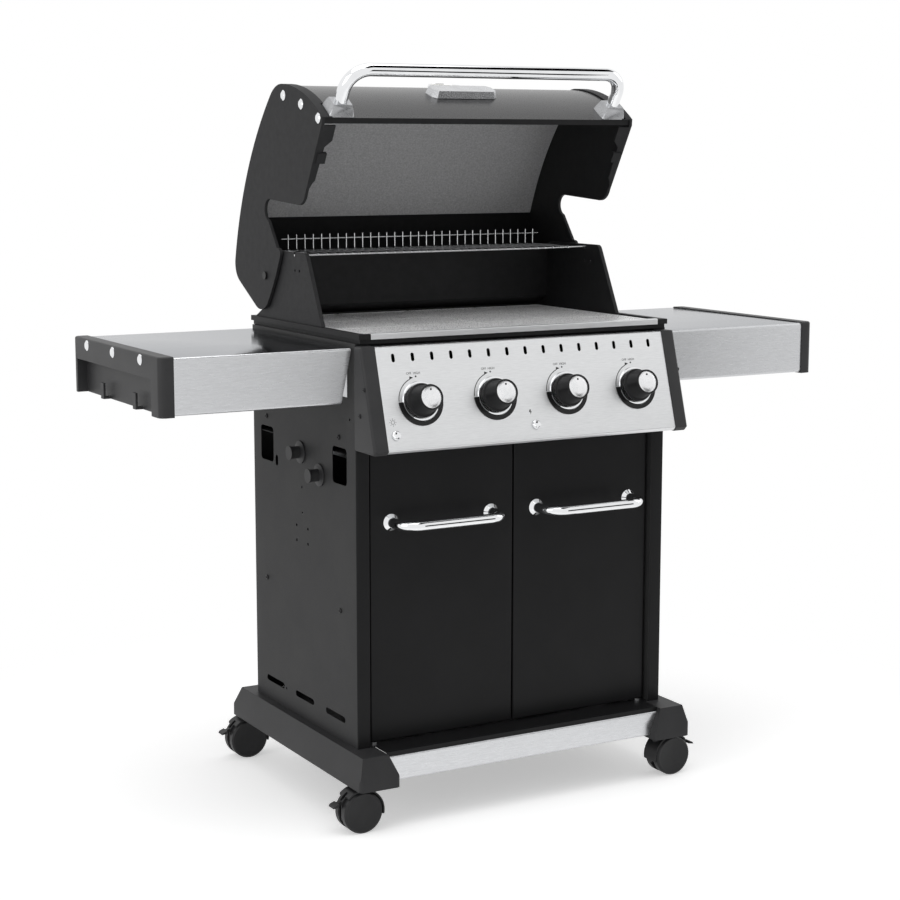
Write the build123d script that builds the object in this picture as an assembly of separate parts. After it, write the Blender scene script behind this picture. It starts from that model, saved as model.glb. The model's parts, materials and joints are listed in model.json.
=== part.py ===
from build123d import *
import os

# Four-burner gas barbecue grill on a two-door cart with two side shelves, drawn with its lid open.
# Millimetres. X runs to the right of someone facing the grill, the front faces -Y, Z is up and the
# floor is z = 0. The origin is on the floor under the middle of the whole grill.
# The four sizes at the top drive the rest: other pieces are placed by an inset, an overhang or a drop
# from the cart's sides, front, rear or top.

# Cart
OVERALL_WIDTH = 1448        # over the two shelf caps
CART_WIDTH = 692            # over the side panels
CART_DEPTH = 464            # over the side panel flanges
CART_TOP = 916              # top of the side panels, which carry the firebox
SHEET = 1.2                 # steel sheet of panels, doors and shelves
SHEET_BEND = 3              # outer bend radius of that sheet
SEAT_GAP = 0.2              # clearance between pieces that are slid together
RUNNING_FIT = 0.05          # radial clearance of pins and shafts
FRONT_FLANGE = 28
FLANGE_RETURN = 26          # turned back behind the edge of the door
REAR_FLANGE = 20
TOP_FLANGE = 9
BRACE_DEPTH = 34
BRACE_HEIGHT = 36
BRACE_LIP = 12
BRACE_RISE = 5              # above the doors
VENT_ROWS = 2
VENT_COUNT = 7
VENT_LENGTH = 60
VENT_WIDTH = 8
VENT_PITCH_X = 80
VENT_PITCH_Z = 32
VENT_FOOT = 80              # lowest row above the base
VENT_HEAD = 372             # highest row below the cart top

# Base
RAIL_HEIGHT = 62
RAIL_LIFT = 3.5             # above the casters
RAIL_SKIRT = 17             # upright band along the bottom of a rail
RAIL_OVERHANG = 29          # beyond the side panel
RAIL_WIDTH = 85
RAIL_TOP_OVERHANG = 18
RAIL_TOP_WIDTH = 54
RAIL_FRONT_REACH = 68
RAIL_REAR_REACH = 66
RAIL_FRONT_RAKE = 12
RAIL_REAR_RAKE = 26
RAIL_CORNER = 9
RAIL_WALL = 4
RAIL_RIBS = 5
BASE_SHEET = 1.5
APRON_INSET = 2             # base panel behind the front trim
TRIM_HEIGHT = 48
TRIM_RECESS = 20            # strip behind the front of the rails
TRIM_DROP = 7               # and below their top
TRIM_LIP = 12

# Casters
WHEEL_RADIUS = 40
WHEEL_WIDTH = 15
WHEEL_GAP = 14              # between the two discs of a twin wheel
WHEEL_DISH = 1
WHEEL_EDGE = 3
WHEEL_TREAD = 5             # face of the rim outside the dish
AXLE_RADIUS = 4
CASTER_TRAIL = 22
CASTER_INSET = 13           # stem inside the side panel
CASTER_FRONT_INSET = 48     # stem behind the front of the rail
CASTER_REAR_INSET = 22
HOOD_CLEARANCE = 1.5
HOOD_WALL = 3
HOOD_WIDTH = 40
HOOD_CUT_LOW = 8            # hood ends this far below the axle
HOOD_CUT_OUT = 30           # and this far beyond it
WEB_CUT_LOW = 12
WEB_CUT_OUT = 39
WEB_CLEARANCE = 0.5         # fork web to wheel disc
STEM_RADIUS = 5.5
STEM_LENGTH = 42            # above the rail bottom
STEM_BOSS = 7               # boss wall round the stem
LEVER_PIVOT_OUT = 31        # from the axle, outwards and up
LEVER_PIVOT_UP = 22
LEVER_PIN = 2.5
LEVER_TONGUE = 8
LEVER_ROOM = 0.3
LEVER_PAD = 22
LEVER_PAD_START = 15        # from the pivot
LEVER_THICKNESS = 6
LEVER_REACH = 58

# Doors
DOOR_RECESS = 11            # door front behind the flange front
DOOR_DEPTH = 18
DOOR_SPLIT = 3
DOOR_SIDE_GAP = 6
DOOR_FOOT_GAP = 5
DOOR_HEAD_GAP = 12
DOOR_PIVOT_INSET = 8
DOOR_PIN = 4
DOOR_PIN_COLLAR = 8
DOOR_PIN_BITE = 8           # pin inside the door
DOOR_HANDLE_DROP = 137
DOOR_HANDLE_START = 51.5    # from the middle of the grill
DOOR_HANDLE_INSET = 43.5    # from the outer edge of the door
DOOR_HANDLE_TUBE = 9.5      # radius
DOOR_HANDLE_STANDOFF = 62
DOOR_HANDLE_BEND = 36
ROSETTE_RADIUS = 16
ROSETTE_EDGE = 1.5
ROSETTE_CONE = 6
ROSETTE_HEIGHT = 7

# Control panel: a sloping stainless fascia between two plastic caps
PANEL_TOP_OVERHANG = 23
PANEL_TOP_DROP = 5
PANEL_RAKE = 55
PANEL_HEIGHT = 185
PANEL_LIP = 6
PANEL_CAP_OVERHANG = 2
PANEL_CAP_WIDTH = 29.4
PANEL_CAP_PROUD = 1.5
PANEL_CAP_WALL = 3
PANEL_CAP_ROUND = 6
SLOT_COUNT = 15
SLOT_MARGIN = 35.1          # from the panel end to the middle of the first slot
SLOT_DROP = 21.5
SLOT_LENGTH = 16
SLOT_WIDTH = 7

# Knobs and gas train; lengths are down the fascia or out from it
KNOB_COUNT = 4
KNOB_DROP = 104.5
KNOB_BASE = 32              # radius of the skirt
KNOB_TIP = 24
KNOB_WAIST = 4              # body inside the skirt
KNOB_EDGE = 2
KNOB_LIFT = 6.3             # skirt above the fascia
KNOB_HEIGHT = 45
KNOB_SKIRT = 5
KNOB_CROWN = 15             # solid end above the shaft
INSERT_RADIUS = 21.5
INSERT_DEPTH = 2
BEZEL_BORE = 33.2
BEZEL_RADIUS = 37.5
BEZEL_EDGE = 1
BEZEL_HEIGHT = 2.5
LIGHT_RING_RADIUS = 46
LIGHT_RING_HEIGHT = 1.5
STEM_HOLE = 11
SHAFT_RADIUS = 4
SHAFT_TAIL = 38
COLLAR_RADIUS = 10
COLLAR_START = 2
COLLAR_LENGTH = 8
KNOB_PUSH = 5
VALVE_RADIUS = 13
VALVE_FLANGE = 19
VALVE_FLANGE_HEIGHT = 3
MANIFOLD_RADIUS = 11
MANIFOLD_BORE = 8
MANIFOLD_BACK = 60
MANIFOLD_MARGIN = 28.6
INLET_INSET = 18
INLET_RADIUS = 8
INLET_BORE = 4
INLET_LENGTH = 26
INLET_NUT = 7
INLET_NUT_PROUD = 3
BUTTON_RADIUS = 9
BUTTON_EDGE = 1.5
BUTTON_HEIGHT = 5
BUTTON_TAIL = 12
BUTTON_PUSH = 3
BUTTON_DROP = 165
LIGHT_BUTTON_MARGIN = 19.6
IGNITION_BUTTON_X = 0
MODULE_RADIUS = 14
MODULE_DEPTH = 42

# Firebox and what lies in it
RIM_INSET = 3
RIM_FRONT_OVERHANG = 10
RIM_REAR_OVERHANG = 11
RIM_HEIGHT = 18
RIM_PLATE = 10              # thickness of the rim's edge
RIM_NECK = 4                # inset of the seat under that edge
FIREBOX_WALL = 4
TUB_SIDE_INSET = 12
TUB_FRONT_INSET = 6
TUB_REAR_INSET = 22
TUB_DEPTH = 149             # rim to knee
TUB_SIDE_TAPER = 12
TUB_FRONT_TAPER = 26
TUB_REAR_TAPER = 20
TUB_FUNNEL = 45             # knee to outlet
TUB_OUTLET_X = 140
TUB_OUTLET_Y = 100
STRIP_INSET = 27
STRIP_RISE = 8
STRIP_RETURN = 7
STRIP_BEND = 2
GRATE_COUNT = 4
GRATE_SIDE_INSET = 7
GRATE_REST = 5              # grate on the ledge, front and rear
GRATE_ROOM = 1              # round the grates
GRATE_THICKNESS = 12
GRATE_DROP = 1              # below the rim
GRATE_BORDER = 9
GRATE_BARS = 8
GRATE_BAR = 8
GRATE_ROWS = 3
BURNER_RISE = 33            # above the knee
BURNER_RADIUS = 16
BURNER_START = 12           # behind the front wall
VENTURI_RADIUS = 11
VENTURI_BORE = 8
VENTURI_BORE_END = 40
VENTURI_INSET = 5
SPUD_RADIUS = 5
SPUD_REACH = 10
HEAT_PLATE_GAP = 31
HEAT_PLATE_RISE = 40
HEAT_PLATE_LIFT = 32        # above the burner
HEAT_PLATE_BEND = 6
HEAT_PLATE_SHEET = 1.5

# Raised end walls and rear wall of the cook box, and the warming rack between them
WALL_INSET = 7
WALL_THICKNESS = 8
WALL_HEIGHT = 136
WALL_REAR_INSET = 42
WALL_FOOT = 268             # length along the rim
WALL_LENGTH = 200           # length along the top
WALL_CORNER = 14
WALL_HOLE = 3
WALL_HOLES = ((28, 35), (48, 35))    # behind the shoulder and below the top
BACK_SHEET = 1.5
BACK_FOOT = 14
BACK_FOOT_INSET = 6
BACK_KNEE = 18
BACK_DROP = 10              # below the end walls
RACK_DEPTH = 140
RACK_REAR_INSET = 10
RACK_ROD = 6                # thickness of the cross rods
RACK_MIDDLE_ROD = 4
RACK_WIRE = 3
RACK_WIRES = 32
RACK_MARGIN = 42.7          # from an end wall to the first wire
RACK_END = 12               # rods of the rack past the last wire
RACK_NOSE = 5               # wires past the front rod
RACK_SINK = 1               # weld depth of a wire in a rod
RACK_NOTCH = 8              # depth of the notch that takes a rod
FENCE_HEIGHT = 32
FENCE_RAIL_DROP = 8

# Lid, seen from the side with the lid open: (y, z) from the hinge for a reach of LID_REACH_DRAWN
LID_OVERHANG = 1
LID_PLATE = 6
LID_BAND = 16               # flange that laps over the skin, inside the plate
LID_FLANGE = 4              # thickness of the flange along the front edge
LID_FLANGE_OUTLINE = ((5, 0), (5, 24), (36, 24), (50, 11), (122, 8), (128, 4), (140, 0))
LID_BUMPER = (62, 84)       # start and end of the bumper along the front edge
LID_BUMPER_WIDTH = 18
LID_BUMPER_PROUD = 3
LID_EDGE = 3                # skin below the edge of the end plates
LID_SKIN = 1.5
LID_LINER_GAP = 4
LID_LINER = 1
LID_HINGE_INSET = 74
LID_HINGE_RISE = 85
LID_REACH_DRAWN = 400       # hinge to the front of the rim in the drawing below
LID_PIN = 5
LID_PIN_HEAD = 8
LID_PIN_HEAD_HEIGHT = 4
LIP_BOTTOM = (-262, 295)
LIP_TOP = (-263, 307)
FRONT_MIDDLE = (-172, 356)
CROWN_FRONT = (-86, 372)
CROWN_BACK = (-33, 352)
BACK_END = (151, 26)
HEEL = (131, -18)
LUG_BACK = (49, -64)
LUG_BOTTOM = (20, -68.5)
LUG_FRONT = (-8, -53)
LUG_MIDDLE = (-40, -9)
LUG_TOP = (-70, 44)
LUG_NOSE = (-67, 53)
NOTCH_FRONT = (-55, 56)
NOTCH_BACK = (-15, 109)
NOTCH_CORNER = (0, 136)
NOTCH_TOP = (-22, 151)
FLAP_BOTTOM = (-150, 143)
FLAP_CORNER = (-175, 149)
FLAP_FRONT = (-187, 165)
LINER_START = 0.10          # share of the front curve where the liner begins
LINER_END = 0.76            # share of the back curve where it ends
HANDLE_AT = 0.125           # share of the front curve under the handle
HANDLE_INSET = 43
HANDLE_TUBE = 12.5          # radius
HANDLE_STANDOFF = 90
HANDLE_BEND = 44
PLINTH_WIDTH = 54
PLINTH_LENGTH = 44
PLINTH_HEIGHT = 22
PLINTH_CORNER = 6
PLINTH_TAPER = 20
PLINTH_ROOM = 0.5           # between the plinth and the end plate's band
NAMEPLATE_AT = 0.53
NAMEPLATE_WIDTH = 147
NAMEPLATE_LENGTH = 44
NAMEPLATE_HEIGHT = 14
NAMEPLATE_TAPER = 12
NAMEPLATE_CLIP = 9
GAUGE_GAP = 8               # from the nameplate
GAUGE_RADIUS = 36
GAUGE_HEIGHT = 7
GAUGE_STEM = 4
GAUGE_STEM_LENGTH = 40
GAUGE_STEM_ROOM = 0.5
SCREW_CAP_RADIUS = 10
SCREW_CAP_HEIGHT = 3
SCREW_CAP_EDGE = 1
SCREW_CAP_DOME = 3
LID_SCREWS = ((-247, 305), (-173, 332), (-94, 350))
BACK_SCREWS_AT = (0.07, 0.5, 0.92)   # shares of the back curve

# Shelves
SHELF_BELOW_TOP = 7         # shelf surface below the cart top
SHELF_DROP = 103
SHELF_FRONT_INSET = 5
SHELF_REAR_INSET = 8
SHELF_STANDOFF = 6          # from the side panel
SHELF_SLANT = 21
SHELF_BEND = 5
SHELF_RETURN = 14
CAP_WIDTH = 27
CAP_PROUD = 2
CAP_CORNER = 12
CAP_BAND = 42
CAP_RECESS = 20
CAP_PILLAR_FRONT = 42
CAP_PILLAR_REAR = 20
CAP_SCREWS = (-137, 5, 146)
CAP_SCREW_DROP = 10
BRACKET_TAB = 20
BRACKET_STEP = 29           # down to the step against the side panel
BRACKET_DROP = 94
BRACKET_BEND = 2
BRACKET_INSET = 32
HOOK_WIDTH = 15
HOOK_SPREAD = 170
HOOK_REACH = 14
HOOK_HEIGHT = 30
HOOK_THICKNESS = 4

# Side panel fittings; heights are drops from the cart top
PASS_WIDTH = 60
PASS_HEIGHT = 70
PASS_CORNER = 8
PASS_INSET = 68             # from the front and rear of the cart
PASS_DROP = 234
FOOT_SLOT_LENGTH = 84
FOOT_SLOT_HEIGHT = 12
FOOT_SLOT_PITCH = 138
FOOT_SLOT_RISE = 43         # above the rails
PEGS = ((6, 231), (-78, 264))
PEG_RADIUS = 12
PEG_FLANGE = 22
PEG_LENGTH = 26
PEG_HEAD = 2                # head larger than the peg
ACCESSORY_HOLE = 3
ACCESSORY_Y = 51
ACCESSORY_Z = 30
ACCESSORY_PLACE = (3, 394)
SCREW_HOLE = 2.5
SCREW_HOLES = ((-162, 180), (-208, 142), (165, 179), (3, 300), (2, 351), (172, 512), (-163, 512), (86, 725))
HOSE_SLOT = (119, 263)
HOSE_SLOT_LENGTH = 22
HOSE_SLOT_WIDTH = 12

# Grease tray and its runners
RUNNER_DROP = 34            # below the firebox outlet
RUNNER_WIDTH = 60           # in from the outside of the panel
TRAY_SIDE_GAP = 6           # tray basin inside the runner
TRAY_LIP = 16
TRAY_FRONT_INSET = 60
TRAY_DEPTH = 30
TRAY_SHEET = 1.5
TRAY_FACE = 52
TRAY_FACE_DROP = 8
TRAY_FACE_LAP = 6
TRAY_PULL = 120
TRAY_PULL_DEPTH = 18
TRAY_MOUTH_GAP = 2
TRAY_MOUTH_HEAD = 6

# Values worked out from those above
CUT = 5                     # how far a cutting solid runs past a sheet
CART_X = CART_WIDTH / 2
CART_INSIDE = CART_X - SHEET
CART_FRONT = -CART_DEPTH / 2
CART_REAR = CART_DEPTH / 2
HOOD_INNER = WHEEL_RADIUS + HOOD_CLEARANCE
HOOD_OUTER = HOOD_INNER + HOOD_WALL
RAIL_BOTTOM = WHEEL_RADIUS + HOOD_OUTER + RAIL_LIFT
RAIL_TOP = RAIL_BOTTOM + RAIL_HEIGHT
RAIL_OUTER = CART_X + RAIL_OVERHANG
RAIL_INNER = RAIL_OUTER - RAIL_WIDTH
RAIL_TOP_OUTER = CART_X + RAIL_TOP_OVERHANG
RAIL_TOP_INNER = RAIL_TOP_OUTER - RAIL_TOP_WIDTH
RAIL_FRONT = CART_FRONT - RAIL_FRONT_REACH
RAIL_REAR = CART_REAR + RAIL_REAR_REACH
TRIM_FRONT = RAIL_FRONT + TRIM_RECESS
TRIM_TOP = RAIL_TOP - TRIM_DROP
BASE_TOP = RAIL_TOP + BASE_SHEET
CASTER_X = CART_X - CASTER_INSET
CASTER_FRONT = RAIL_FRONT + CASTER_FRONT_INSET
CASTER_REAR = RAIL_REAR - CASTER_REAR_INSET
WEB = WHEEL_GAP - 2 * WEB_CLEARANCE
PANEL_CAP_OUTER = CART_X + PANEL_CAP_OVERHANG
PANEL_HALF = PANEL_CAP_OUTER - PANEL_CAP_WIDTH
PANEL_TOP_Y = CART_FRONT - PANEL_TOP_OVERHANG
PANEL_TOP_Z = CART_TOP - PANEL_TOP_DROP
PANEL_BOTTOM_Y = PANEL_TOP_Y - PANEL_RAKE
PANEL_BOTTOM_Z = PANEL_TOP_Z - PANEL_HEIGHT
FASCIA = Plane(
    origin=(0, PANEL_TOP_Y, PANEL_TOP_Z), x_dir=(1, 0, 0), z_dir=(0, -PANEL_HEIGHT, PANEL_RAKE)
)
SLOT_PITCH = 2 * (PANEL_HALF - SLOT_MARGIN) / (SLOT_COUNT - 1)
MANIFOLD_HALF = PANEL_HALF - MANIFOLD_MARGIN
INLET_X = MANIFOLD_HALF - INLET_INSET
LIGHT_BUTTON_X = LIGHT_BUTTON_MARGIN - PANEL_HALF
DOOR_FRONT = CART_FRONT + DOOR_RECESS
DOOR_EDGE = CART_X - FRONT_FLANGE - DOOR_SIDE_GAP
DOOR_BOTTOM = RAIL_TOP + DOOR_FOOT_GAP
DOOR_TOP = PANEL_BOTTOM_Z - DOOR_HEAD_GAP
DOOR_PIVOT_X = DOOR_EDGE - DOOR_PIVOT_INSET
DOOR_PIVOT_Y = DOOR_FRONT + DOOR_DEPTH / 2
DOOR_HANDLE_Z = DOOR_TOP - DOOR_HANDLE_DROP
DOOR_HANDLE_END = DOOR_EDGE - DOOR_HANDLE_INSET
BRACE_BOTTOM = DOOR_TOP + BRACE_RISE
RIM_HALF = CART_X - RIM_INSET
RIM_FRONT = CART_FRONT - RIM_FRONT_OVERHANG
RIM_REAR = CART_REAR + RIM_REAR_OVERHANG
RIM_TOP = CART_TOP + RIM_HEIGHT
TUB_HALF = CART_X - TUB_SIDE_INSET
TUB_FRONT = CART_FRONT + TUB_FRONT_INSET
TUB_REAR = CART_REAR - TUB_REAR_INSET
TUB_KNEE_Z = RIM_TOP - TUB_DEPTH
TUB_KNEE_HALF = TUB_HALF - TUB_SIDE_TAPER
TUB_KNEE_FRONT = TUB_FRONT + TUB_FRONT_TAPER
TUB_KNEE_REAR = TUB_REAR - TUB_REAR_TAPER
TUB_OUTLET_Z = TUB_KNEE_Z - TUB_FUNNEL
KNOB_PITCH = 2 * (TUB_KNEE_HALF - FIREBOX_WALL) / KNOB_COUNT
KNOB_X = [(i - (KNOB_COUNT - 1) / 2) * KNOB_PITCH for i in range(KNOB_COUNT)]
STRIP_HALF = CART_X - STRIP_INSET
STRIP_BOTTOM = CART_TOP + STRIP_RISE
GRATE_HALF = TUB_HALF - GRATE_SIDE_INSET
GRATE_FRONT = TUB_FRONT - GRATE_REST
GRATE_REAR = TUB_REAR + GRATE_REST
GRATE_TOP = RIM_TOP - GRATE_DROP
BURNER_Z = TUB_KNEE_Z + BURNER_RISE
VENTURI_FRONT = TUB_FRONT + VENTURI_INSET
HEAT_PLATE_WIDTH = KNOB_PITCH - HEAT_PLATE_GAP
HEAT_PLATE_Z = BURNER_Z + HEAT_PLATE_LIFT
WALL_OUTER = CART_X - WALL_INSET
WALL_INNER = WALL_OUTER - WALL_THICKNESS
WALL_TOP = RIM_TOP + WALL_HEIGHT
WALL_REAR = CART_REAR - WALL_REAR_INSET
WALL_FOOT_FRONT = WALL_REAR - WALL_FOOT
WALL_SHOULDER = WALL_REAR - WALL_LENGTH
BACK_FOOT_Y = CART_REAR - BACK_FOOT_INSET
BACK_KNEE_Z = RIM_TOP + BACK_KNEE
BACK_TOP = WALL_TOP - BACK_DROP
RACK_REAR = WALL_REAR - RACK_REAR_INSET
RACK_FRONT = RACK_REAR - RACK_DEPTH
RACK_PITCH = 2 * (WALL_INNER - RACK_MARGIN) / (RACK_WIRES - 1)
LID_HALF = CART_X + LID_OVERHANG
LID_HINGE_Y = CART_REAR - LID_HINGE_INSET
LID_SCALE = (LID_HINGE_Y - RIM_FRONT) / LID_REACH_DRAWN
LID_PIVOT = (LID_HINGE_Y, RIM_TOP + LID_HINGE_RISE * LID_SCALE)
HANDLE_HALF = LID_HALF - HANDLE_INSET
SHELF_TOP = CART_TOP - SHELF_BELOW_TOP
SHELF_FRONT = CART_FRONT + SHELF_FRONT_INSET
SHELF_REAR = CART_REAR - SHELF_REAR_INSET
SHELF_INNER = CART_X + SHELF_STANDOFF
SHELF_INNER_LOW = SHELF_INNER + SHELF_SLANT
SHELF_OUTER = OVERALL_WIDTH / 2 - CAP_WIDTH
BRACKET_HALF = CART_DEPTH / 2 - BRACKET_INSET
PASS_Y = CART_DEPTH / 2 - PASS_INSET
RUNNER_Z = TUB_OUTLET_Z - RUNNER_DROP
RUNNER_INNER = CART_X - RUNNER_WIDTH
TRAY_HALF = RUNNER_INNER - TRAY_SIDE_GAP
TRAY_FRONT = CART_FRONT + TRAY_FRONT_INSET
MIN_CENTRE = (Align.CENTER, Align.CENTER, Align.MIN)


def block(x0, x1, y0, y1, z0, z1):
    """Box between two corners."""
    return Pos((x0 + x1) / 2, (y0 + y1) / 2, (z0 + z1) / 2) * Box(x1 - x0, y1 - y0, z1 - z0)


def rod(start, end, radius):
    """Round bar between two points."""
    start, end = Vector(*start), Vector(*end)
    plane = Plane(origin=start, z_dir=end - start)
    return plane * Cylinder(radius, (end - start).length, align=MIN_CENTRE)


def along_x(face, x0, x1):
    """Solid with a (y, z) section that runs from x0 to x1."""
    return extrude(Plane.YZ.offset(x0) * face, amount=x1 - x0)


def along_y(face, y0, y1):
    """Solid with an (x, z) section that runs from y0 to y1."""
    return extrude(Plane.XZ.offset(-y0) * face, amount=y0 - y1)


def strip(points, bend, thickness, side):
    """Section of a bent sheet: a filleted line thickened to one side."""
    line = Wire(FilletPolyline(*points, radius=bend).edges())
    return make_face(line.offset_2d(thickness, side=side, closed=True).edges())


def polygon(*points):
    """Flat face through a few points."""
    return make_face(Polyline(*points, close=True))


def on_fascia(shape):
    """Carry a shape drawn at the top edge of the fascia (x, up the slope, outwards) to its place."""
    return FASCIA.location * shape


def both_sides(shape):
    """A shape and its mirror image left of the middle."""
    return [shape, mirror(shape, about=Plane.YZ)]


def x_holes(radius, places, x0, x1):
    """Round holes along X at (y, z) places."""
    return [rod((x0, y, z), (x1, y, z), radius) for y, z in places]


# Base of the cart

def rail_form(inset, bottom):
    """Raked block of a base rail, drawn in by the inset on every side but the bottom."""
    knee, top = RAIL_BOTTOM + RAIL_SKIRT, RAIL_TOP - inset
    low_x0, low_x1 = RAIL_INNER + inset, RAIL_OUTER - inset
    low_y0, low_y1 = RAIL_FRONT + inset, RAIL_REAR - inset
    high_x0, high_x1 = RAIL_TOP_INNER + inset, RAIL_TOP_OUTER - inset
    high_y0, high_y1 = low_y0 + RAIL_FRONT_RAKE, low_y1 - RAIL_REAR_RAKE
    across = polygon((low_x0, bottom), (low_x1, bottom), (low_x1, knee), (high_x1, top),
                     (high_x0, top), (low_x0, knee))
    along = polygon((low_y0, bottom), (low_y1, bottom), (low_y1, knee), (high_y1, top),
                    (high_y0, top), (low_y0, knee))
    corner = max(RAIL_CORNER - inset, 1)
    plan = Pos((low_x0 + low_x1) / 2, (low_y0 + low_y1) / 2, bottom) * RectangleRounded(
        low_x1 - low_x0, low_y1 - low_y0, corner)
    raked = along_x(along, low_x0, low_x1) & along_y(across, low_y0, low_y1)
    return raked & extrude(plan, amount=top - bottom)


def base_rail():
    """Right-hand rail: a hollow moulding with ribs and two caster sockets."""
    outside = rail_form(0, RAIL_BOTTOM)
    rail = outside - rail_form(RAIL_WALL, RAIL_BOTTOM - RAIL_WALL)
    socket = STEM_RADIUS + RAIL_WALL
    filling = []
    for y in (CASTER_FRONT, CASTER_REAR):
        filling.append(rod((CASTER_X, y, RAIL_BOTTOM), (CASTER_X, y, RAIL_TOP), socket))
    pitch = (CASTER_REAR - CASTER_FRONT) / (RAIL_RIBS + 1)
    for i in range(RAIL_RIBS):
        y = CASTER_FRONT + (i + 1) * pitch
        filling.append(
            block(RAIL_INNER, RAIL_OUTER, y - RAIL_WALL / 2, y + RAIL_WALL / 2,
                  RAIL_BOTTOM + RAIL_SKIRT, RAIL_TOP)
        )
    for piece in filling:
        rail += piece & outside
    for y in (CASTER_FRONT, CASTER_REAR):
        top = RAIL_BOTTOM + STEM_LENGTH + 1
        rail -= rod((CASTER_X, y, RAIL_BOTTOM - 1), (CASTER_X, y, top), STEM_RADIUS + RUNNING_FIT)
    return rail


def base_panel():
    """Floor of the cabinet, with an apron that runs forward and turns down on to the trim."""
    half = CART_INSIDE - SEAT_GAP
    floor = block(-half, half, CART_FRONT, CART_REAR - 2 * SHEET - SEAT_GAP, RAIL_TOP, BASE_TOP)
    for flange in both_sides(front_flange_room(RAIL_TOP, BASE_TOP)):
        floor -= flange
    apron, front = RAIL_TOP_INNER - 1, TRIM_FRONT + APRON_INSET
    floor += block(-apron, apron, front, CART_FRONT, RAIL_TOP, BASE_TOP)
    edge = block(-apron, apron, front, front + BASE_SHEET, TRIM_TOP, BASE_TOP)
    for rail in both_sides(rail_form(-SEAT_GAP, RAIL_BOTTOM)):
        edge -= rail
    return floor + edge


def front_flange_room(bottom, top):
    """Room taken by the right-hand front flange and its bend, with clearance."""
    inner = CART_X - FRONT_FLANGE - SEAT_GAP
    return block(inner, CART_X, CART_FRONT - 1, CART_FRONT + FLANGE_RETURN + SEAT_GAP, bottom, top)


def base_front_trim():
    """Stainless strip under the doors, bent back at the top and rolled under at the bottom."""
    back = TRIM_FRONT + TRIM_LIP
    bottom = TRIM_TOP - TRIM_HEIGHT
    section = strip(
        [(back, TRIM_TOP), (TRIM_FRONT, TRIM_TOP), (TRIM_FRONT, bottom), (back, bottom)],
        SHEET_BEND, SHEET, Side.LEFT,
    )
    trim = along_x(section, -RAIL_TOP_INNER, RAIL_TOP_INNER)
    for rail in both_sides(rail_form(-SEAT_GAP, RAIL_BOTTOM)):
        trim -= rail
    return trim


# Casters, drawn about the stem with the wheel trailing towards +X

def hood_segment(low, out):
    """Disc of the hood, cut off at a depth below the axle and a distance beyond it."""
    disc = Circle(HOOD_OUTER) - Pos(0, -HOOD_OUTER - low) * Rectangle(3 * HOOD_OUTER, 2 * HOOD_OUTER)
    return disc - Pos(HOOD_OUTER + out, 0) * Rectangle(2 * HOOD_OUTER, 3 * HOOD_OUTER)


def caster_fork():
    """Hood over the wheel, web between its discs, and the stem."""
    axle = (CASTER_TRAIL, WHEEL_RADIUS)
    hood_face = hood_segment(HOOD_CUT_LOW, HOOD_CUT_OUT)
    web_face = hood_segment(WEB_CUT_LOW, WEB_CUT_OUT)
    upright = Plane(origin=(axle[0], 0, axle[1]), x_dir=(1, 0, 0), z_dir=(0, -1, 0))
    hood = extrude(upright * hood_face, amount=HOOD_WIDTH / 2, both=True)
    hood += rod((0, 0, WHEEL_RADIUS), (0, 0, RAIL_BOTTOM - 1), STEM_RADIUS + STEM_BOSS)
    tunnel = rod((axle[0], -HOOD_WIDTH, axle[1]), (axle[0], HOOD_WIDTH, axle[1]), HOOD_INNER)
    fork = hood - tunnel
    fork += extrude(upright * web_face, amount=WEB / 2, both=True)
    fork += rod((0, 0, RAIL_BOTTOM - CUT), (0, 0, RAIL_BOTTOM + STEM_LENGTH), STEM_RADIUS)
    fork -= rod((axle[0], -WEB, axle[1]), (axle[0], WEB, axle[1]), AXLE_RADIUS + RUNNING_FIT)
    pivot_x, pivot_z = axle[0] + LEVER_PIVOT_OUT, axle[1] + LEVER_PIVOT_UP
    fork -= rod((pivot_x, -WEB, pivot_z), (pivot_x, WEB, pivot_z), LEVER_PIN + RUNNING_FIT)
    slot = LEVER_TONGUE / 2 + LEVER_ROOM
    fork -= block(pivot_x - LEVER_TONGUE, pivot_x + HOOD_OUTER, -slot, slot, WHEEL_RADIUS - WEB_CUT_LOW - 1,
                  2 * WHEEL_RADIUS)
    return fork


def caster_wheel():
    """Twin wheel: two dished discs on one axle."""
    inner = WHEEL_GAP / 2
    outer = inner + WHEEL_WIDTH
    r = WHEEL_RADIUS
    dish = r - WHEEL_TREAD
    half = [
        (0, outer - WHEEL_DISH), (dish - WHEEL_EDGE, outer - WHEEL_DISH), (dish, outer),
        (r - WHEEL_EDGE, outer), (r, outer - WHEEL_EDGE), (r, inner), (AXLE_RADIUS, inner),
    ]
    other = [(x, -y) for x, y in reversed(half)]
    wheel = revolve(Plane.XY * polygon(*half, *other), axis=Axis.Y)
    return Pos(CASTER_TRAIL, 0, WHEEL_RADIUS) * wheel


def brake_lever():
    """Pedal on a cross pin between the cheeks of the fork."""
    x, z = LEVER_PIVOT_OUT, LEVER_PIVOT_UP
    reach = LEVER_REACH
    upright = Plane(origin=(CASTER_TRAIL, 0, WHEEL_RADIUS), x_dir=(1, 0, 0), z_dir=(0, -1, 0))
    start, thick = x + LEVER_PAD_START, LEVER_THICKNESS
    back = x - LEVER_TONGUE / 2
    pad = polygon((start, z), (reach - 2, z - 4), (reach, z - thick - 2), (start, z - thick))
    tongue = polygon((back, z + 4), (start, z), (start + 1, z - thick), (back, z - thick + 1))
    lever = extrude(upright * tongue, amount=LEVER_TONGUE / 2, both=True)
    lever += extrude(upright * pad, amount=LEVER_PAD / 2, both=True)
    pivot_x, pivot_z = CASTER_TRAIL + x, WHEEL_RADIUS + z
    return lever + rod((pivot_x, -WEB / 2, pivot_z), (pivot_x, WEB / 2, pivot_z), LEVER_PIN)


# Cabinet

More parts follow.
